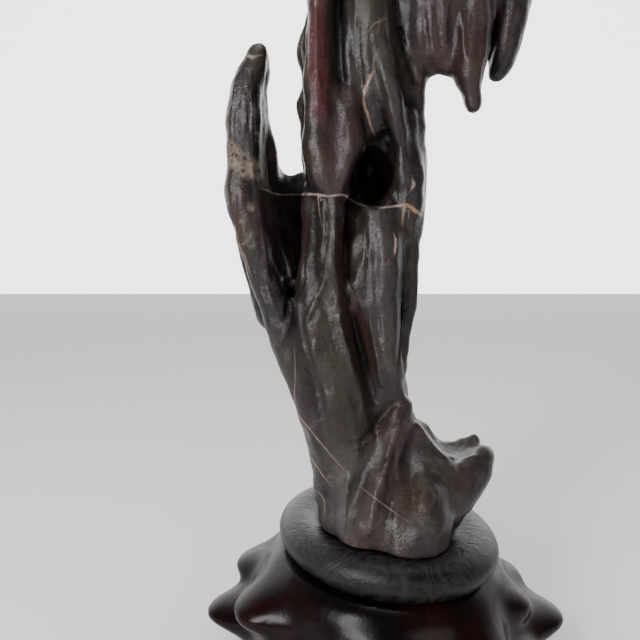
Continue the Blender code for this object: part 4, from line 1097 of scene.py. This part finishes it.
def make_base(settings):
    """The base: its outline turned round, pushed out by its knobs, softened and a little uneven."""
    outline = smooth_path(BASE_OUTLINE, 1.6)
    standing = np.clip(outline[:, 1] / 8, 0, 1)
    rings = []
    for bearing in np.arange(BASE_SIDES) * 360 / BASE_SIDES:
        reach = outline[:, 0] + knobs_at(bearing, outline[:, 1]) * standing
        angle = math.radians(bearing)
        row = np.stack([reach * math.cos(angle), reach * math.sin(angle), outline[:, 1]], axis=1)
        rings.append(row * MM)
    rows = len(outline)
    points = [tuple(point) for ring in rings for point in ring]
    faces = [[i * rows for i in range(BASE_SIDES)][::-1], [(i + 1) * rows - 1 for i in range(BASE_SIDES)]]
    for i in range(BASE_SIDES):
        here, there = i * rows, (i + 1) % BASE_SIDES * rows
        faces += [(here + k, here + k + 1, there + k + 1, there + k) for k in range(rows - 1)]
    mesh = bpy.data.meshes.new("carved_base")
    mesh.from_pydata(points, [], faces)
    base = new_object("carved_base", mesh, piece_collection("stand"))
    fuse(base, settings.face_size / MM, 10)
    weather(base.data, 18.0, 0.5)
    cut_level(base, 0, upwards=True)
    cut_level(base, BASE_HEIGHT, upwards=False)
    heights = points_of(base.data)[:, 2]
    off_the_rims = np.clip(np.minimum(heights - 3, BASE_HEIGHT - 5 - heights) / 5, 0, 1)
    store(base.data, "hollow", how_hollow(base, 40) * off_the_rims)
    base.data.set_sharp_from_angle(angle=math.radians(55))
    return base


def pale_room(settings):
    """A room with a white wall behind the object, and dimmer above and before it."""
    world = bpy.data.worlds.new("pale_room")
    world.use_nodes = True
    nodes, links = world.node_tree.nodes, world.node_tree.links
    direction = nodes.new("ShaderNodeTexCoord")
    parts = nodes.new("ShaderNodeSeparateXYZ")
    links.new(direction.outputs["Generated"], parts.inputs["Vector"])

    def ramp(value, limits):
        made = nodes.new("ShaderNodeMapRange")
        made.interpolation_type = "SMOOTHSTEP"
        for key, limit in zip(("From Min", "From Max", "To Min", "To Max"), limits):
            made.inputs[key].default_value = limit
        links.new(value, made.inputs["Value"])
        return made.outputs["Result"]

    low_enough = ramp(parts.outputs["Z"], (0.5, 0.8, 1.0, 0.1))
    behind = ramp(parts.outputs["Y"], (-0.15, 0.85, 0.0, settings.wall_light))
    wall = nodes.new("ShaderNodeMath")
    wall.operation = "MULTIPLY_ADD"
    links.new(behind, wall.inputs[0])
    links.new(low_enough, wall.inputs[1])
    wall.inputs[2].default_value = settings.front_light
    links.new(wall.outputs[0], nodes["Background"].inputs["Strength"])
    nodes["Background"].inputs["Color"].default_value = (1, 1, 1, 1)
    return world


def area_light(name, place, target, size, watts, colour):
    data = bpy.data.lights.new(name, "AREA")
    data.shape = "RECTANGLE"
    data.size, data.size_y = size
    data.energy = watts
    data.color = colour
    lamp = new_object(name, data, bpy.context.scene.collection)
    lamp.location = place
    lamp.rotation_euler = (Vector(target) - Vector(place)).to_track_quat("-Z", "Y").to_euler()
    return lamp


class StoneSettings(bpy.types.PropertyGroup):
    face_size: FloatProperty(
        name="Face Size", description="Size of the stone's faces", default=0.0014, min=0.0008, max=0.006,
        precision=4, subtype="DISTANCE", unit="LENGTH",
    )
    flute_depth: FloatProperty(
        name="Flute Depth", description="Depth of the fine upright flutes", default=0.00012, min=0.0,
        max=0.003, precision=4, subtype="DISTANCE", unit="LENGTH",
    )
    gloss: FloatProperty(
        name="Roughness", description="How dull the waxed stone is", default=0.33, min=0.15, max=0.8,
        subtype="FACTOR",
    )
    vein_strength: FloatProperty(
        name="Veins", description="How strongly the veins show", default=1.0, min=0.0, max=1.0,
        subtype="FACTOR",
    )


class StandSettings(bpy.types.PropertyGroup):
    face_size: FloatProperty(
        name="Face Size", description="Size of the base's faces", default=0.0016, min=0.001, max=0.006,
        precision=4, subtype="DISTANCE", unit="LENGTH",
    )
    grain_count: FloatProperty(
        name="Grain", description="How close together the lines of the grain are", default=420.0, min=50.0,
        max=1500.0,
    )


class StageSettings(bpy.types.PropertyGroup):
    floor_size: FloatProperty(
        name="Floor", description="Size of the floor", default=60.0, min=1.0, max=100.0, subtype="DISTANCE",
        unit="LENGTH",
    )
    key_power: FloatProperty(
        name="Key Light", description="Power of the large soft light", default=12.5, min=0.0, max=200.0,
        subtype="POWER", unit="POWER",
    )
    wall_light: FloatProperty(
        name="Wall", description="Brightness of the wall behind", default=3.3, min=0.0, max=10.0,
    )
    front_light: FloatProperty(
        name="Room", description="Brightness of the room in front", default=0.22, min=0.0, max=10.0,
    )


class ROCKSTAND_OT_add_stone(bpy.types.Operator):
    """Add the weathered stone with its colours and veins"""

    bl_idname = "rockstand.add_stone"
    bl_label = "Add Stone"
    bl_options = {"REGISTER", "UNDO"}

    def execute(self, context):
        settings = context.scene.rockstand_stone
        dress(make_rock(settings), "rock", stone_material(settings))
        return {"FINISHED"}


class ROCKSTAND_OT_add_seat_ring(bpy.types.Operator):
    """Add the oval wooden ring that the stone stands in"""

    bl_idname = "rockstand.add_seat_ring"
    bl_label = "Add Seat Ring"
    bl_options = {"REGISTER", "UNDO"}

    def execute(self, context):
        settings = context.scene.rockstand_stand
        dress(make_ring(settings), "seat_ring", charcoal_material(settings))
        return {"FINISHED"}


class ROCKSTAND_OT_add_base(bpy.types.Operator):
    """Add the carved round base with its knobs"""

    bl_idname = "rockstand.add_base"
    bl_label = "Add Base"
    bl_options = {"REGISTER", "UNDO"}

    def execute(self, context):
        settings = context.scene.rockstand_stand
        dress(make_base(settings), "stand_base", oxblood_material(settings))
        return {"FINISHED"}


class ROCKSTAND_OT_set_stage(bpy.types.Operator):
    """Add the floor, the soft lights and the camera"""

    bl_idname = "rockstand.set_stage"
    bl_label = "Set Stage"
    bl_options = {"REGISTER", "UNDO"}

    def execute(self, context):
        settings = context.scene.rockstand_stage
        bpy.ops.mesh.primitive_plane_add(size=settings.floor_size)
        floor = context.object
        floor.name = "floor"
        floor.data.materials.append(plain_material("pale_floor", (0.8, 0.8, 0.82), 0.6))
        power = settings.key_power
        middle = (0, 0, 0.25)
        area_light("window_light", (-0.64, -0.72, 0.6), middle, (0.2, 0.7), power, (0.96, 0.98, 1.0))
        area_light("front_light", (0.5, -0.95, 0.4), middle, (0.5, 0.5), power * 0.16, (1, 0.99, 0.98))
        area_light("top_light", (0.0, 0.0, 1.2), middle, (0.5, 0.5), power * 0.3, (1, 1, 1))
        context.scene.world = pale_room(settings)
        lens = bpy.data.cameras.new("standing_point")
        lens.sensor_width = 36
        lens.lens = 36 * SKETCH_DISTANCE / 320
        camera = new_object("standing_point", lens, context.scene.collection)
        camera.location = EYE * MM
        camera.rotation_euler = (math.radians(90) - LOOK_DOWN, 0, 0)
        context.scene.camera = camera
        return {"FINISHED"}


class ROCKSTAND_PT_panel(bpy.types.Panel):
    """The pieces and their settings, in the 3D view's sidebar"""

    bl_idname = "ROCKSTAND_PT_panel"
    bl_label = "Scholar's Rock"
    bl_space_type = "VIEW_3D"
    bl_region_type = "UI"
    bl_category = "Scholar's Rock"

    def draw(self, context):
        scene = context.scene
        parts = (
            ("Stone", scene.rockstand_stone, ("rockstand.add_stone",)),
            ("Stand", scene.rockstand_stand, ("rockstand.add_seat_ring", "rockstand.add_base")),
            ("Stage", scene.rockstand_stage, ("rockstand.set_stage",)),
        )
        for title, settings, operators in parts:
            box = self.layout.box()
            box.label(text=title)
            for name in settings.__annotations__:
                box.prop(settings, name)
            for operator in operators:
                box.operator(operator)


CLASSES = (
    StoneSettings,
    StandSettings,
    StageSettings,
    ROCKSTAND_OT_add_stone,
    ROCKSTAND_OT_add_seat_ring,
    ROCKSTAND_OT_add_base,
    ROCKSTAND_OT_set_stage,
    ROCKSTAND_PT_panel,
)


def register():
    for cls in CLASSES:
        bpy.utils.register_class(cls)
    bpy.types.Scene.rockstand_stone = PointerProperty(type=StoneSettings)
    bpy.types.Scene.rockstand_stand = PointerProperty(type=StandSettings)
    bpy.types.Scene.rockstand_stage = PointerProperty(type=StageSettings)


def unregister():
    del bpy.types.Scene.rockstand_stage
    del bpy.types.Scene.rockstand_stand
    del bpy.types.Scene.rockstand_stone
    for cls in reversed(CLASSES):
        bpy.utils.unregister_class(cls)


def main():
    register()
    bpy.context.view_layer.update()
    bpy.ops.rockstand.add_stone()
    bpy.ops.rockstand.add_seat_ring()
    bpy.ops.rockstand.add_base()
    bpy.ops.rockstand.set_stage()


if __name__ == "__main__":
    main()
